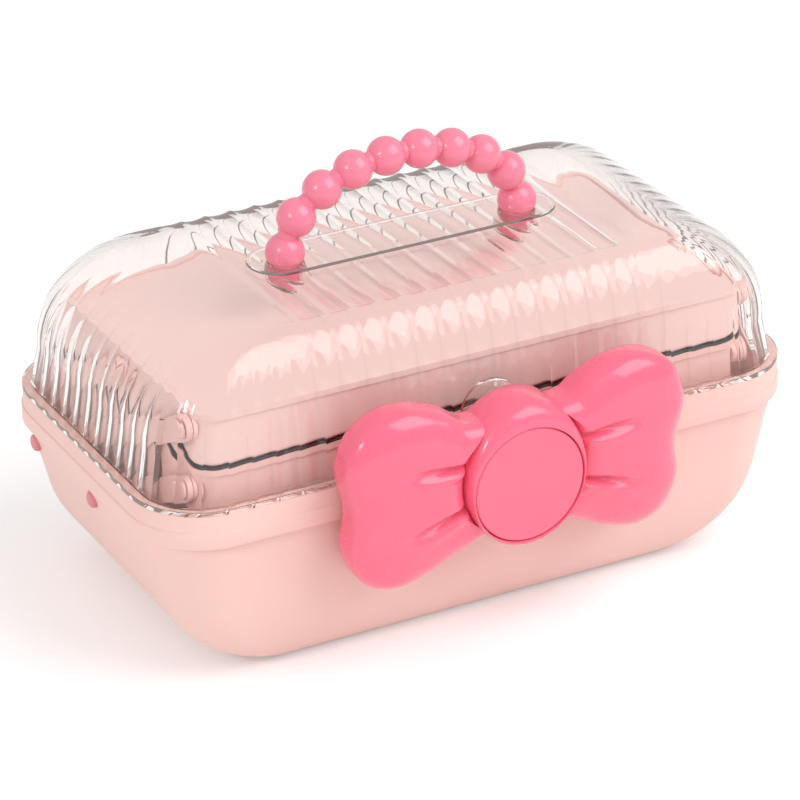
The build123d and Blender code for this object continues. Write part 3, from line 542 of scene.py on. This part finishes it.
def hinge_lug():
    """Lug at the left hinge: round eye whose foot runs into the band."""
    turn = np.radians(np.linspace(-50, 180, 25))
    outline = [(HINGE_Y + HINGE_EYE * math.cos(a), RIM + HINGE_EYE * math.sin(a)) for a in turn]
    outline += [(LUG_ROOT, RIM - 0.4), (LUG_ROOT, 69.0), (LUG_ROOT, 65.5)]
    rings = []
    for x, inset in ((-96.5, 0.3), (-96.2, 0.0), (-91.8, 0.0), (-91.5, 0.3)):
        shape = LUG_MIDDLE + (np.array(outline) - LUG_MIDDLE) * (1 - inset / 5.0)
        rings.append([(x, y, z) for y, z in shape])
    return ring_stack("lug", rings)


MIRROR_X = Matrix.Scale(-1, 4, (1, 0, 0))
boss = tub_boss()
front_boss = copy_to(boss, "boss_front", Matrix.Translation((0, -BOSS_STEP * MM, 0)))
bosses = [boss, front_boss]
bosses += [copy_to(part, part.name + "_right", MIRROR_X) for part in (boss, front_boss)]
settle(join("tub_pin_bosses", bosses), "case", shell_pink)

lug = hinge_lug()
inner_lug = copy_to(lug, "lug_inner", Matrix.Translation((LUG_STEP * MM, 0, 0)))
lugs = [lug, inner_lug]
lugs += [copy_to(part, part.name + "_right", MIRROR_X) for part in (lug, inner_lug)]
settle(join("hinge_lugs", lugs), "case", shell_pink)

# %% [markdown]
# ## Fluted lid
#
# The lid is the piece that everyone notices. Flutes run up the walls side by side, straight
# across the top at the front and rear, and fan round the corners, where they close up and fade
# before the flat top ends. Each flute is a shallow hollow, as on a stone column, and meets its
# neighbour in a sharp ridge. A hollow makes what lies behind it smaller, so a line behind the
# lid climbs faster inside each flute and jumps back at its ridge. The ring is therefore divided
# by flutes, eight points to each, and every point is then sunk along its own normal by the
# flute's arc.

# %% Places round the lid
FRONT_FLUTES, CORNER_FLUTES, END_FLUTES = 15, 8, 7
POINTS = 8
FLUTE_DEPTH = 1.45
LONG_STEEP, END_STEEP = 0.135, 0.065    # deepest flute as a share of its width
TOP_SHARE = 0.50
INNER_DEPTH = 0.25
FRONT_REACH, END_REACH = 80.7, 33.7     # half the width of the flutes at front and end
FRONT_POINTS = FRONT_FLUTES * POINTS
CORNER_POINTS = CORNER_FLUTES * POINTS
END_POINTS = END_FLUTES * POINTS


def corner_run(half_x, half_y, radius):
    """From the front's last flute round the right corner to the end's first one."""
    first = half_x - radius - FRONT_REACH
    turn = radius * math.pi / 2
    last = half_y - radius - END_REACH
    points = []
    for step in range(CORNER_POINTS):
        run = (first + turn + last) * step / CORNER_POINTS
        if run <= first:
            points.append((FRONT_REACH + run, -half_y))
        elif run <= first + turn:
            angle = (run - first) / radius
            x = half_x - radius + radius * math.sin(angle)
            points.append((x, -half_y + radius - radius * math.cos(angle)))
        else:
            points.append((half_x, -half_y + radius + run - first - turn))
    return points


def lid_ring(half_x, half_y, radius, z):
    """A ring whose points keep their flute from the flange to the top."""
    quarter = corner_run(half_x, half_y, radius)
    along_front = [FRONT_REACH * (2 * n / FRONT_POINTS - 1) for n in range(FRONT_POINTS)]
    along_end = [END_REACH * (2 * n / END_POINTS - 1) for n in range(END_POINTS)]
    front = [(x, -half_y) for x in along_front]
    end = [(half_x, y) for y in along_end]
    start = (half_x, END_REACH)
    back_quarter = [start] + [(x, -y) for x, y in reversed(quarter[1:])]
    right = front + quarter + end + back_quarter
    left = [(-x, -y) for x, y in right]
    return [(x, y, z) for x, y in right + left]


# %% [markdown]
# The profile is a wall that leans in a little, then a long oval shoulder, wider over the ends
# than over the front. The inner skin is the same shape two millimetres further in.

# %% Profile of the lid
LID_WALL = 2.0
LID_FOOT = (136.6, 71.6, 23.5)      # half length, half depth and corner of the dome's foot
LID_LEAN = 2.9                      # how far the wall leans in below the shoulder
SHOULDER_Z, SHOULDER_RISE = 96.0, 40.0
END_OVER, FRONT_OVER = 38.0, 20.0   # how far the shoulder reaches over the ends and the front
CORNER_TIGHTER = 8.5                # how much the corner's radius loses over the shoulder


def lid_outline(angle, inset, drop):
    """Ring on the shoulder, from 0 degrees at its foot to 90 at the flat top."""
    turn = math.radians(angle)
    over = 1 - math.cos(turn)
    half_x = LID_FOOT[0] - inset - LID_LEAN - END_OVER * over
    half_y = LID_FOOT[1] - inset - LID_LEAN - FRONT_OVER * over
    radius = LID_FOOT[2] - inset - CORNER_TIGHTER * angle / 90
    return lid_ring(half_x, half_y, radius, SHOULDER_Z + (SHOULDER_RISE - drop) * math.sin(turn))


def wall_outline(z, inset):
    """Ring on the leaning wall below the shoulder."""
    lean = LID_LEAN * (z - RIM) / (SHOULDER_Z - RIM)
    half_x, half_y, radius = LID_FOOT
    return lid_ring(half_x - inset - lean, half_y - inset - lean, radius - inset, z)


inner_shoulder = np.linspace(90, 0, 13)
inner_rings = [lid_outline(angle, LID_WALL, LID_WALL) for angle in inner_shoulder]
inner_rings += [wall_outline(z, LID_WALL) for z in (90.0, 84.0, RIM)]
flange_rings = []
for inset, height in ((0.3, 0.0), (0.0, 0.3), (0.0, 1.6), (0.12, 1.88), (0.4, 2.0)):
    sides = [v - inset for v in (BAND_HALF, BAND_DEPTH, BAND_CORNER)]
    flange_rings.append(lid_ring(*sides, RIM + height))
shoulder_angles = np.linspace(0, 90, 19)
outer_rings = [wall_outline(z, 0.0) for z in (80.0, 83.0, 86.0, 89.0, 92.5)]
outer_rings += [lid_outline(angle, 0.0, 0.0) for angle in shoulder_angles]
print("rings of the lid:", len(inner_rings), len(flange_rings), len(outer_rings))

# %% [markdown]
# The flutes sink the outer rings, and the inner ones a little. How deep they go at a place
# depends on how far up the shoulder it is and how close to the ends of the flat top: there the
# flutes die away.

# %% Flutes
def skin_normals(rings):
    """Outward normal at each point of a row of rings."""
    grid = np.array(rings)
    along = np.roll(grid, -1, axis=1) - np.roll(grid, 1, axis=1)
    up = np.gradient(grid, axis=0)
    normals = np.cross(along, up)
    return normals / np.linalg.norm(normals, axis=2, keepdims=True)


def flute_strength(angle, x, on_long_side):
    """1 on the walls, less on the flat top, 0 where that ends."""
    softer = 1 - (1 - TOP_SHARE) * smooth(angle, 0.0, 70.0)
    late = smooth(angle, 35.0, 90.0)
    if on_long_side:
        return softer * (1 - late * smooth(abs(x), 66.0, FRONT_REACH))
    return softer * (1 - late)


def flute(rings, angles, most):
    """Sink each point by its flute's arc."""
    grid = np.array(rings)
    normals = skin_normals(rings)
    steps = np.linalg.norm(np.roll(grid, -1, axis=1) - grid, axis=2)
    count = grid.shape[1]
    half = count // 2
    for row, angle in enumerate(angles):
        for n in range(count):
            across = 2 * (n % POINTS) / POINTS - 1
            pitch = steps[row, n] * POINTS
            on_long_side = n % half <= FRONT_POINTS
            steep = LONG_STEEP if on_long_side else END_STEEP
            depth = min(most, steep * pitch) * (1 - across * across)
            strength = flute_strength(angle, grid[row, n, 0], on_long_side)
            grid[row, n] -= normals[row, n] * depth * strength
    return grid.tolist()


outer_angles = [0.0] * 5 + list(shoulder_angles)
outer_rings = flute(outer_rings, outer_angles, FLUTE_DEPTH)
inner_angles = list(inner_shoulder) + [0.0] * 3
inner_rings = flute(inner_rings, inner_angles, INNER_DEPTH)

# %% [markdown]
# The top is closed in three parts. Opposite points of the front and rear are bridged, which
# carries the flutes straight across as ribs, and the two plain ends become flat faces.

# %% The lid's skin
def lid_skin():
    rings = inner_rings + flange_rings + outer_rings
    piece = extruded_circle("lid_shell", len(rings[0]), len(rings) - 1)
    chains = lay_on(piece, rings)
    fill(piece, chains[0])
    top = chains[-1]
    half = len(top) // 2
    front = top[: FRONT_POINTS + 1]
    rear = top[half: half + FRONT_POINTS + 1]
    pick(piece, front + rear)
    bpy.ops.mesh.bridge_edge_loops()
    bpy.ops.object.mode_set(mode="OBJECT")
    fill(piece, top[FRONT_POINTS: half + 1])
    fill(piece, top[half + FRONT_POINTS:] + top[:1])
    outward(piece)
    return piece


lid = lid_skin()
settle(lid, "lid", lid_clear, 24.0, ("lid",))

# %% [markdown]
# ## Clear fittings on the lid
#
# Under the handle lies an oblong platform, below it two sockets for the handle's pegs, at the
# front an arched housing for the catch, and at the rear two hinge knuckles. On the real lid they
# are one moulding. Here each is its own clear piece a hair away from the lid's skin, because
# clear skins that cut through each other bend light wrongly.

# %% Platform and sockets
PLATFORM_LENGTH, PLATFORM_WIDTH = 133.0, 26.0
PLATFORM_TOP = 137.2
SPAN = 51.0                         # from the middle to each foot of the handle


def stadium(length, width, z, count=40):
    """An oblong with half-round ends."""
    radius = width / 2
    reach = length / 2 - radius
    points = []
    for side in (1, -1):
        for step in range(count + 1):
            angle = math.radians(-90 + 180 * step / count)
            x = side * (reach + radius * math.cos(angle))
            points.append((x, side * radius * math.sin(angle), z))
    return points


def platform():
    rings = []
    profile = [(0.3, 136.08), (0.0, 136.3), (0.0, 136.7), (0.15, 137.05)]
    profile += [(0.5, PLATFORM_TOP), (1.6, PLATFORM_TOP), (2.0, PLATFORM_TOP - 0.3)]
    for inset, z in profile:
        rings.append(stadium(PLATFORM_LENGTH - 2 * inset, PLATFORM_WIDTH - 2 * inset, z))
    return ring_stack("platform", rings)


def socket():
    """Clear cup under the left peg, open at the top."""
    profile = [(6.2, 133.9), (6.2, 127.7), (1.7, 127.6), (1.7, 126.2), (2.0, 126.0)]
    profile += [(7.1, 126.0), (7.5, 126.4), (7.5, 133.9)]
    rings = [disc_ring(radius, z, -SPAN) for radius, z in profile]
    return ring_stack("socket", rings, closed=True)


left_socket = socket()
right_socket = copy_to(left_socket, "socket_right", MIRROR_X)
parts = [platform(), left_socket, right_socket]
settle(join("lid_platform", parts), "lid", lid_clear)

# %% [markdown]
# The catch housing is an arch that stands out from the lid's front, with a plate that hangs
# down behind the bow. The plate has the window for the hook.

# %% Catch housing and plate
HAIR = 0.05                         # gap between clear skins
HOUSING_HALF, HOUSING_TOP = 13.0, 104.0
HOUSING_WALL = 2.0


def arch(half_width, bottom, top, y, count=24):
    """Arch outline in a plane of one depth; y may be a number or a rule for the height."""
    points = [(half_width * (2 * n / 12 - 1), bottom) for n in range(12)]
    spring = top - half_width
    points += [(half_width, bottom + (spring - bottom) * n / 6) for n in range(6)]
    for step in range(count):
        angle = math.radians(180 * step / count)
        points.append((half_width * math.cos(angle), spring + half_width * math.sin(angle)))
    points += [(-half_width, spring + (bottom - spring) * n / 6) for n in range(6)]
    return [(x, y(z) if callable(y) else y, z) for x, z in points]


def lid_front(z):
    """Just in front of the lid's outer skin."""
    if z < SHOULDER_Z:
        return LID_LEAN * (z - RIM) / (SHOULDER_Z - RIM) - LID_FOOT[1] - HAIR
    climb = (z - SHOULDER_Z) / SHOULDER_RISE
    over = 1 - math.sqrt(max(0.0, 1 - climb * climb))
    return FRONT_OVER * over + LID_LEAN - LID_FOOT[1] - HAIR


def housing():
    """Hollow arch: its hollow, open towards the lid, then its outer side up to the front."""
    inner = HOUSING_HALF - HOUSING_WALL, 82.2, HOUSING_TOP - HOUSING_WALL
    outer = HOUSING_HALF, 80.25, HOUSING_TOP
    rings = [arch(10.8, 82.4, 101.8, -76.3), arch(*inner, -75.8), arch(*inner, lid_front)]
    rings += [arch(*outer, lid_front), arch(*outer, -78.0)]
    rings += [arch(12.85, 80.4, 103.85, -78.35), arch(12.5, 80.75, 103.5, -78.5)]
    return ring_stack("housing", rings)


def upright(half_x, low, high, y):
    """Oblong outline in a plane of one depth, eight points to a side."""
    corners = [(-half_x, low), (half_x, low), (half_x, high), (-half_x, high)]
    points = []
    for n in range(4):
        start, end = np.array(corners[n]), np.array(corners[(n + 1) % 4])
        points += [tuple(start + (end - start) * step / 8) for step in range(8)]
    return [(x, y, z) for x, z in points]


def catch_plate():
    """Plate below the housing with the hook's window."""
    outer = [upright(12.7, 67.8, 79.9, -78.5), upright(13.0, 67.5, 80.2, -78.2)]
    outer += [upright(13.0, 67.5, 80.2, -76.6), upright(12.7, 67.8, 79.9, -76.3)]
    inner = [upright(5.0, 71.1, 75.9, -76.3), upright(5.0, 71.1, 75.9, -78.5)]
    return ring_stack("plate", outer + inner, closed=True)


settle(join("lid_catch", [housing(), catch_plate()]), "lid", lid_clear)

# %% [markdown]
# A knuckle is a barrel round the hinge pin. The bore for the pin goes right through, so it is a
# closed row of rings.

# %% Hinge knuckles
def knuckle():
    """Clear barrel at the left hinge."""
    profile = [(1.56, -8.0), (3.1, -8.0), (HINGE_EYE, -7.7)]
    profile += [(HINGE_EYE, 7.7), (3.1, 8.0), (1.56, 8.0)]
    rings = [rod_ring(radius, along - HINGE_X, HINGE_Y, RIM) for radius, along in profile]
    return ring_stack("knuckle", rings, closed=True)


left_knuckle = knuckle()
right_knuckle = copy_to(left_knuckle, "knuckle_right", MIRROR_X)
settle(join("lid_knuckles", [left_knuckle, right_knuckle]), "lid", lid_clear)

# %% [markdown]
# ## Beaded handle
#
# Ten beads sit on a core that follows half an oval. A bead starts as a ball, and its two poles
# are pushed in where the core enters. The lowest two are cut flat where they stand on the
# platform, and a peg goes down from each.

# %% Bead places
RISE = 31.0
SPRINGING = 139.6
BEAD = 7.75
CORE, CORE_SIDES = 4.0, 20


def arch_place(angle):
    """Place on the handle's oval and the way it runs there."""
    x = SPAN * math.cos(angle)
    z = SPRINGING + RISE * math.sin(angle)
    return (x, z), math.atan2(RISE * math.cos(angle), -SPAN * math.sin(angle))


def even_angles(count):
    """Angles that divide the oval into runs of the same length."""
    fine = np.linspace(0, math.pi, 2001)
    points = np.array([arch_place(angle)[0] for angle in fine])
    runs = np.concatenate([[0], np.cumsum(np.linalg.norm(np.diff(points, axis=0), axis=1))])
    return np.interp(np.linspace(0, runs[-1], count), runs, fine)


bead_angles = even_angles(10)
print("first bead to the next:", round(math.degrees(bead_angles[1]), 1), "degrees")

# %% One bead and its copies
def bead(name):
    """A ball with a dimple at each pole, pole along Z."""
    deselect()
    bpy.ops.mesh.primitive_uv_sphere_add(segments=48, ring_count=28, radius=BEAD * MM)
    ball = bpy.context.object
    ball.name = name
    for side in (1, -1):
        poles = [v.index for v in ball.data.vertices if side * v.co.z > BEAD * MM * 0.9999]
        pick(ball, poles)
        bpy.ops.transform.translate(value=(0, 0, -side * 0.7 * MM))
        bpy.ops.object.mode_set(mode="OBJECT")
    return ball


def standing(x, z, run):
    """Turn the pole along the arch and move the bead there."""
    turned = Matrix.Rotation(math.pi / 2 - run, 4, "Y")
    return Matrix.Translation((x * MM, 0, z * MM)) @ turned


model_bead = bead("bead")
beads = []
for number, angle in enumerate(bead_angles):
    (x, z), run = arch_place(angle)
    beads.append(copy_to(model_bead, f"bead_{number}", standing(x, z, run)))
bpy.data.objects.remove(model_bead)
print("beads:", len(beads))

# %% Seat the lowest beads, thread the core and add the pegs
def cut_flat(ball, z):
    """Cut a bead off below a height and close the cut."""
    deselect()
    ball.select_set(True)
    bpy.context.view_layer.objects.active = ball
    bpy.ops.object.mode_set(mode="EDIT")
    bpy.ops.mesh.select_all(action="SELECT")
    level = (0, 0, z * MM)
    bpy.ops.mesh.bisect(plane_co=level, plane_no=(0, 0, 1), use_fill=True, clear_inner=True)
    bpy.ops.object.mode_set(mode="OBJECT")


def core():
    """Round core along the oval."""
    rings = []
    for angle in even_angles(61):
        (x, z), run = arch_place(angle)
        section = circle(CORE, CORE_SIDES)
        rings.append([(x + a * math.sin(run), b, z - a * math.cos(run)) for a, b in section])
    return ring_stack("core", rings)


def peg():
    """Peg below the left bead."""
    profile = [(5.6, 127.8), (6.0, 128.2), (6.0, 137.4)]
    return ring_stack("peg", [disc_ring(radius, z, -SPAN) for radius, z in profile])


cut_flat(beads[0], PLATFORM_TOP)
cut_flat(beads[-1], PLATFORM_TOP)
left_peg = peg()
right_peg = copy_to(left_peg, "peg_right", MIRROR_X)
handle = join("handle_beads", beads + [core(), left_peg, right_peg])
settle(handle, "lid", bead_pink, 50.0, ("handle",))

# %% [markdown]
# ## Bow
#
# The bow's lobes are hollow mouldings that look like pillows. A lobe is made from one outline:
# rings of that outline shrink towards a middle point while they climb to the front along an
# oval, which gives the puffy edge. Two folds run out from the knot: grooves with a soft ridge
# below, deepest at the knot and gone half-way out.

# %% Outline of a lobe
BOW_MID = 76.5
BOW_BACK = 79.7
LOBE_CENTRE = np.array([40.0, 0.0])
KNOT_X, KNOT_Z = 25.6, 30.0


def through(points, count):
    """A smooth line through a few points, divided evenly."""
    rows = np.array(points, float)
    rows = np.vstack([2 * rows[0] - rows[1], rows, 2 * rows[-1] - rows[-2]])
    line = []
    for n in range(1, len(rows) - 2):
        a, b, c, d = rows[n - 1], rows[n], rows[n + 1], rows[n + 2]
        for t in np.linspace(0, 1, 40, endpoint=False):
            part = 2 * b + (c - a) * t + (2 * a - 5 * b + 4 * c - d) * t * t
            line.append((part + (3 * b - a - 3 * c + d) * t ** 3) / 2)
    line = np.array(line + [rows[-2]])
    runs = np.concatenate([[0], np.cumsum(np.linalg.norm(np.diff(line, axis=0), axis=1))])
    even = np.linspace(0, runs[-1], count)
    return np.stack([np.interp(even, runs, line[:, k]) for k in (0, 1)], axis=1)


def knot_edge(share, high, low, count):
    """The lobe's inner end, inside the knot's wall."""
    wide, tall = share * KNOT_X, share * KNOT_Z
    angles = np.linspace(math.asin(low / tall), math.asin(high / tall), count)
    return [(wide * math.cos(a), tall * math.sin(a)) for a in angles]


def lobe_outline():
    """Right lobe, from its upper root round the outer end to the lower root and back."""
    points = [(14.7, 23.1), (22.7, 24.3), (32, 30.2), (45.2, 34.3), (58, 33.4), (68.4, 26.7)]
    points += [(73.4, 13.0), (69.7, -5.0), (71.2, -21.0), (65.0, -34.0), (53.2, -39.0)]
    points += [(38.0, -35.6), (23.5, -28.6), (13.3, -24.2)]
    outer = through(points, 260)
    inner = knot_edge(0.96, 23.1, -24.2, 110)[1:-1]
    return np.vstack([outer, np.array(inner)])


lobe_points = lobe_outline()
print("outline of a lobe:", len(lobe_points), "points")

# %% [markdown]
# The front's height above the outline is worked out for each point: the pillow's oval, less
# near the knot, where the cloth of a real bow would be drawn together, and the two folds. On the
# knot's side the rings close in more slowly, so that the lobe stays full right up to the knot.

# %% Front of a lobe
LOBE_EDGE = 86.0
LOBE_RISE = 12.6
FOLDS = [((24.0, 8.6), (57.0, 11.4)), ((25.0, -9.0), (58.0, -19.0))]
GROOVE, RIDGE = 3.2, 1.0            # depth of a fold, and height of the ridge beside it


def fold(x, z):
    """Groove and ridge of the folds at a place, in millimetres towards the front."""
    height = 0.0
    for start, end in FOLDS:
        start, end = np.array(start), np.array(end)
        run = end - start
        length = np.linalg.norm(run)
        along = np.dot(np.array([x, z]) - start, run) / length ** 2
        across = ((x - start[0]) * -run[1] + (z - start[1]) * run[0]) / length
        fade = 1 - smooth(along, 0.25, 1.0)
        width = 1.15 + 1.5 * max(along, 0.0)
        groove = math.exp(-((across / width) ** 2))
        ridge = math.exp(-(((across + 2.1 * width) / (1.3 * width)) ** 2))
        height += fade * (RIDGE * ridge - GROOVE * groove)
    return height


def lobe_rings(power=3.0):
    """Back edge, side, the roll over the edge in even turns, then even steps to the middle."""
    rings = []
    near_knot = np.array([1 - smooth(x, 18.0, 36.0) for x, z in lobe_points])
    closing = [math.cos(math.radians(turn)) ** (2 / power) for turn in range(0, 44, 3)]
    closing += list(np.linspace(closing[-1], 0.01, 48)[1:])
    for share, y in ((0.90, BOW_BACK), (0.972, BOW_BACK), (0.99, 80.4), (0.998, 82.0)):
        spots = LOBE_CENTRE + (lobe_points - LOBE_CENTRE) * share
        rings.append([(x, -y, BOW_MID + z) for x, z in spots])
    for share in closing:
        lift = (1 - share ** power) ** (1 / power)
        ring = []
        shares = share ** (1 - 0.55 * near_knot)
        for x, z in LOBE_CENTRE + (lobe_points - LOBE_CENTRE) * shares[:, None]:
            drawn = 0.92 + 0.08 * smooth(x, 22.0, 44.0)
            rise = LOBE_RISE * lift * drawn + fold(x, z) * lift ** 2
            ring.append((x, -LOBE_EDGE - rise, BOW_MID + z))
        rings.append(ring)
    return rings


right_lobe = ring_stack("bow_lobe_right", lobe_rings())
left_lobe = copy_to(right_lobe, "bow_lobe_left", MIRROR_X)
settle(right_lobe, "case", bow_pink, 60.0, ("bow_shell",))
settle(left_lobe, "case", bow_pink, 60.0)

# %% [markdown]
# ## Knot
#
# The knot is an upright oval with a round well for the push button, and it rolls over in one
# soft curve from its side to the well's edge. The rows of points go from the oval to the circle,
# point for point, and the well goes through to the back plate, where the spring stands.

# %% Knot
WELL, WELL_MID = 23.7, 73.0
KNOT_SIDES = 144
KNOT_EDGE, KNOT_RISE = 87.0, 13.4   # where the roll starts, and how far it comes forward
ROLL_STEPS = 18


def knot():
    round_well = circle(WELL, KNOT_SIDES)
    oval = np.array([(x * KNOT_X / WELL, BOW_MID + z * KNOT_Z / WELL) for x, z in round_well])
    well = np.array([(x, WELL_MID + z) for x, z in round_well])
    profile = [(0.0, BOW_BACK), (0.9, BOW_BACK), (1.0, 81.0), (1.0, 86.0)]
    for step in range(1, ROLL_STEPS + 1):
        turn = math.radians(90 * step / ROLL_STEPS)
        share = 0.10 + 0.90 * math.cos(turn) ** 0.8
        profile.append((share, KNOT_EDGE + KNOT_RISE * math.sin(turn) ** 0.8))
    profile += [(0.04, 100.38), (0.0, 100.2)]
    rings = [[(x, -y, z) for x, z in well + (oval - well) * share] for share, y in profile]
    return ring_stack("bow_knot", rings, closed=True)


settle(knot(), "case", bow_pink, 50.0)

# %% [markdown]
# ## Painted shade between the trays
#
# Between the two trays a thin dark line of shade runs all round. It is painted shade: a soft
# brown strip laid on the lower tray's rim, where the gap between the trays lies in shade. It is
# one ring of rings, closed on itself.

# %% Painted shade strip on the lower tray
TRAY_LIP = (118.8, 61.3, 9.8)       # half length, half depth and corner of the tray's lip
TRAY_FORWARD = 2.0                  # the trays sit this far in front of the middle
STRIP_LOW, STRIP_TOP = 90.35, 91.15


# painted shade: a dark strip standing for the shaded gap between the trays
def painted_gap_shade_strip():
    profile = [(0.5, STRIP_LOW), (0.3, 90.5), (0.3, 91.0), (0.5, STRIP_TOP)]
    profile += [(1.8, STRIP_TOP), (1.8, STRIP_LOW)]
    rings = []
    for inset, z in profile:
        outline = rounded(*[v - inset for v in TRAY_LIP], z)
        rings.append([(x, y - TRAY_FORWARD, z) for x, y, z in outline])
    return ring_stack("tray_gap_painted_shade", rings, closed=True)


# painted shade: dark brown colour for the shaded gap between the trays
painted_gap_shade = moulded("painted_gap_shade_brown", (34, 10, 10), (28, 8, 8), 0.6, 0.00002)
settle(painted_gap_shade_strip(), "lower_tray", painted_gap_shade)

# %% [markdown]
# ## Solids that keep their shape
#
# Trays, arms, pins, screws, spring, hook, back plate and button are right as packed. They only
# get their finish.

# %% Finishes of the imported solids
FINISHES = {
    "lower_tray": tray_pink,
    "lower_tray_dividers": tray_pink,
    # painted light: the lighter pink of the lit upper tray
    "upper_tray": painted_lit_tray_pink,
    "upper_tray_cover": painted_lit_tray_pink,
    "long_arm_left": tray_pink,
    "long_arm_right": tray_pink,
    "lower_arm_left": tray_pink,
    "lower_arm_right": tray_pink,
    "upper_arm_left": tray_pink,
    "upper_arm_right": tray_pink,
    "tub_pivot_pins": pin_pink,
    "lower_tray_pins": tray_pink,
    "upper_tray_pins": tray_pink,
    "hinge_pins": steel,
    "handle_screws": steel,
    "bow_screws": steel,
    "button_spring": steel,
    "hook_pin": steel,
    "bow_back_plate": bow_pink,
    "latch_hook": inner_white,
    "latch_button": button_pink,
}
for name, material in FINISHES.items():
    if name in nodes:
        nodes[name].data.materials.clear()
        nodes[name].data.materials.append(material)
print("finished solids:", len(FINISHES))

# %% [markdown]
# ## Floor, light and camera
#
# A pale floor and soft light from above keep the pinks as they are. Near the case the floor takes
# the shadow, and from 40 centimetres on it turns plain white to the camera, so that no horizon
# shows. One large lamp stands high on the right, a weaker one on the left, and the sky gives the
# rest.

# %% Floor
def floor_finish():
    desk = Desk("floor_pale")
    path = desk.add("ShaderNodeLightPath")
    seen = Number(desk, path.outputs["Is Camera Ray"])
    clear = Number(desk, path.outputs["Is Transmission Ray"])
    bright = Number(desk, path.outputs["Is Glossy Ray"])
    matt = desk.add("ShaderNodeBsdfDiffuse", {}, {"Color": (0.9, 0.9, 0.9, 1.0)})
    extra = seen.highest(clear).highest(bright) * 0.22
    lift = desk.add("ShaderNodeEmission", {}, {"Color": (1, 1, 1, 1), "Strength": extra})
    both = desk.add("ShaderNodeAddShader", {}, {0: matt.outputs[0], 1: lift.outputs[0]})
    away = desk.add("ShaderNodeVectorMath", {"operation": "LENGTH"}, {0: desk.place()})
    distance = Number(desk, away.outputs["Value"])
    far = ((distance - 0.4) * 1.2).highest(0.0).lowest(1.0)
    white = desk.add("ShaderNodeEmission", {}, {"Color": (1, 1, 1, 1), "Strength": 1.0})
    values = {0: far * seen.highest(clear), 1: both.outputs[0], 2: white.outputs[0]}
    mixed = desk.add("ShaderNodeMixShader", {}, values)
    return desk.finish(mixed.outputs[0])


deselect()
bpy.ops.mesh.primitive_plane_add(size=12.0, location=(0, 0, -0.0002))
floor = bpy.context.object
floor.name = "floor"
floor.data.materials.append(floor_finish())

# %% Light
def lamp(name, place, target, size, power):
    """Large soft lamp that looks at a point of the case."""
    light = bpy.data.lights.new(name, "AREA")
    light.size = size
    light.energy = power
    stand = bpy.data.objects.new(name, light)
    bpy.context.collection.objects.link(stand)
    stand.location = place
    stand.rotation_mode = "QUATERNION"
    stand.rotation_quaternion = (Vector(place) - Vector(target)).to_track_quat("Z", "Y")
    return stand


CASE_MIDDLE = (0, 0, 0.08)
lamp("key_lamp", (1.0, -1.15, 1.7), CASE_MIDDLE, 1.7, 25.0)
lamp("left_lamp", (-1.6, -0.6, 1.1), CASE_MIDDLE, 0.4, 6.5)


class Sky(Desk):
    """A desk whose nodes belong to the world instead of a material."""

    def __init__(self, name):
        self.world = bpy.data.worlds.new(name)
        self.world.use_nodes = True
        self.tree = self.world.node_tree
        self.tree.nodes.clear()
        bpy.context.scene.world = self.world


def white_sky(strength):
    """White to the camera and behind clear plastic, and so strong as a light."""
    sky = Sky("studio")
    path = sky.add("ShaderNodeLightPath")
    seen = Number(sky, path.outputs["Is Camera Ray"])
    clear = Number(sky, path.outputs["Is Transmission Ray"])
    shown = seen.highest(clear)
    level = strength + shown * (1.0 - strength)
    light = sky.add("ShaderNodeBackground", {}, {"Color": (1, 1, 1, 1), "Strength": level})
    sky.add("ShaderNodeOutputWorld", {}, {"Surface": light.outputs[0]})


white_sky(0.65)

# %% Camera
CAMERA_PLACE = Vector((-0.67959, -1.24339, 0.79399))
CAMERA_TARGET = Vector((-0.00096, 0.00021, 0.06369))
view_data = bpy.data.cameras.new("photo_camera")
view_data.lens = 181.65
view_data.sensor_width = 36.0
camera = bpy.data.objects.new("photo_camera", view_data)
bpy.context.collection.objects.link(camera)
camera.location = CAMERA_PLACE
camera.rotation_mode = "QUATERNION"
camera.rotation_quaternion = (CAMERA_TARGET - CAMERA_PLACE).to_track_quat("-Z", "Y")
bpy.context.scene.camera = camera
bpy.context.scene.view_settings.view_transform = "Standard"
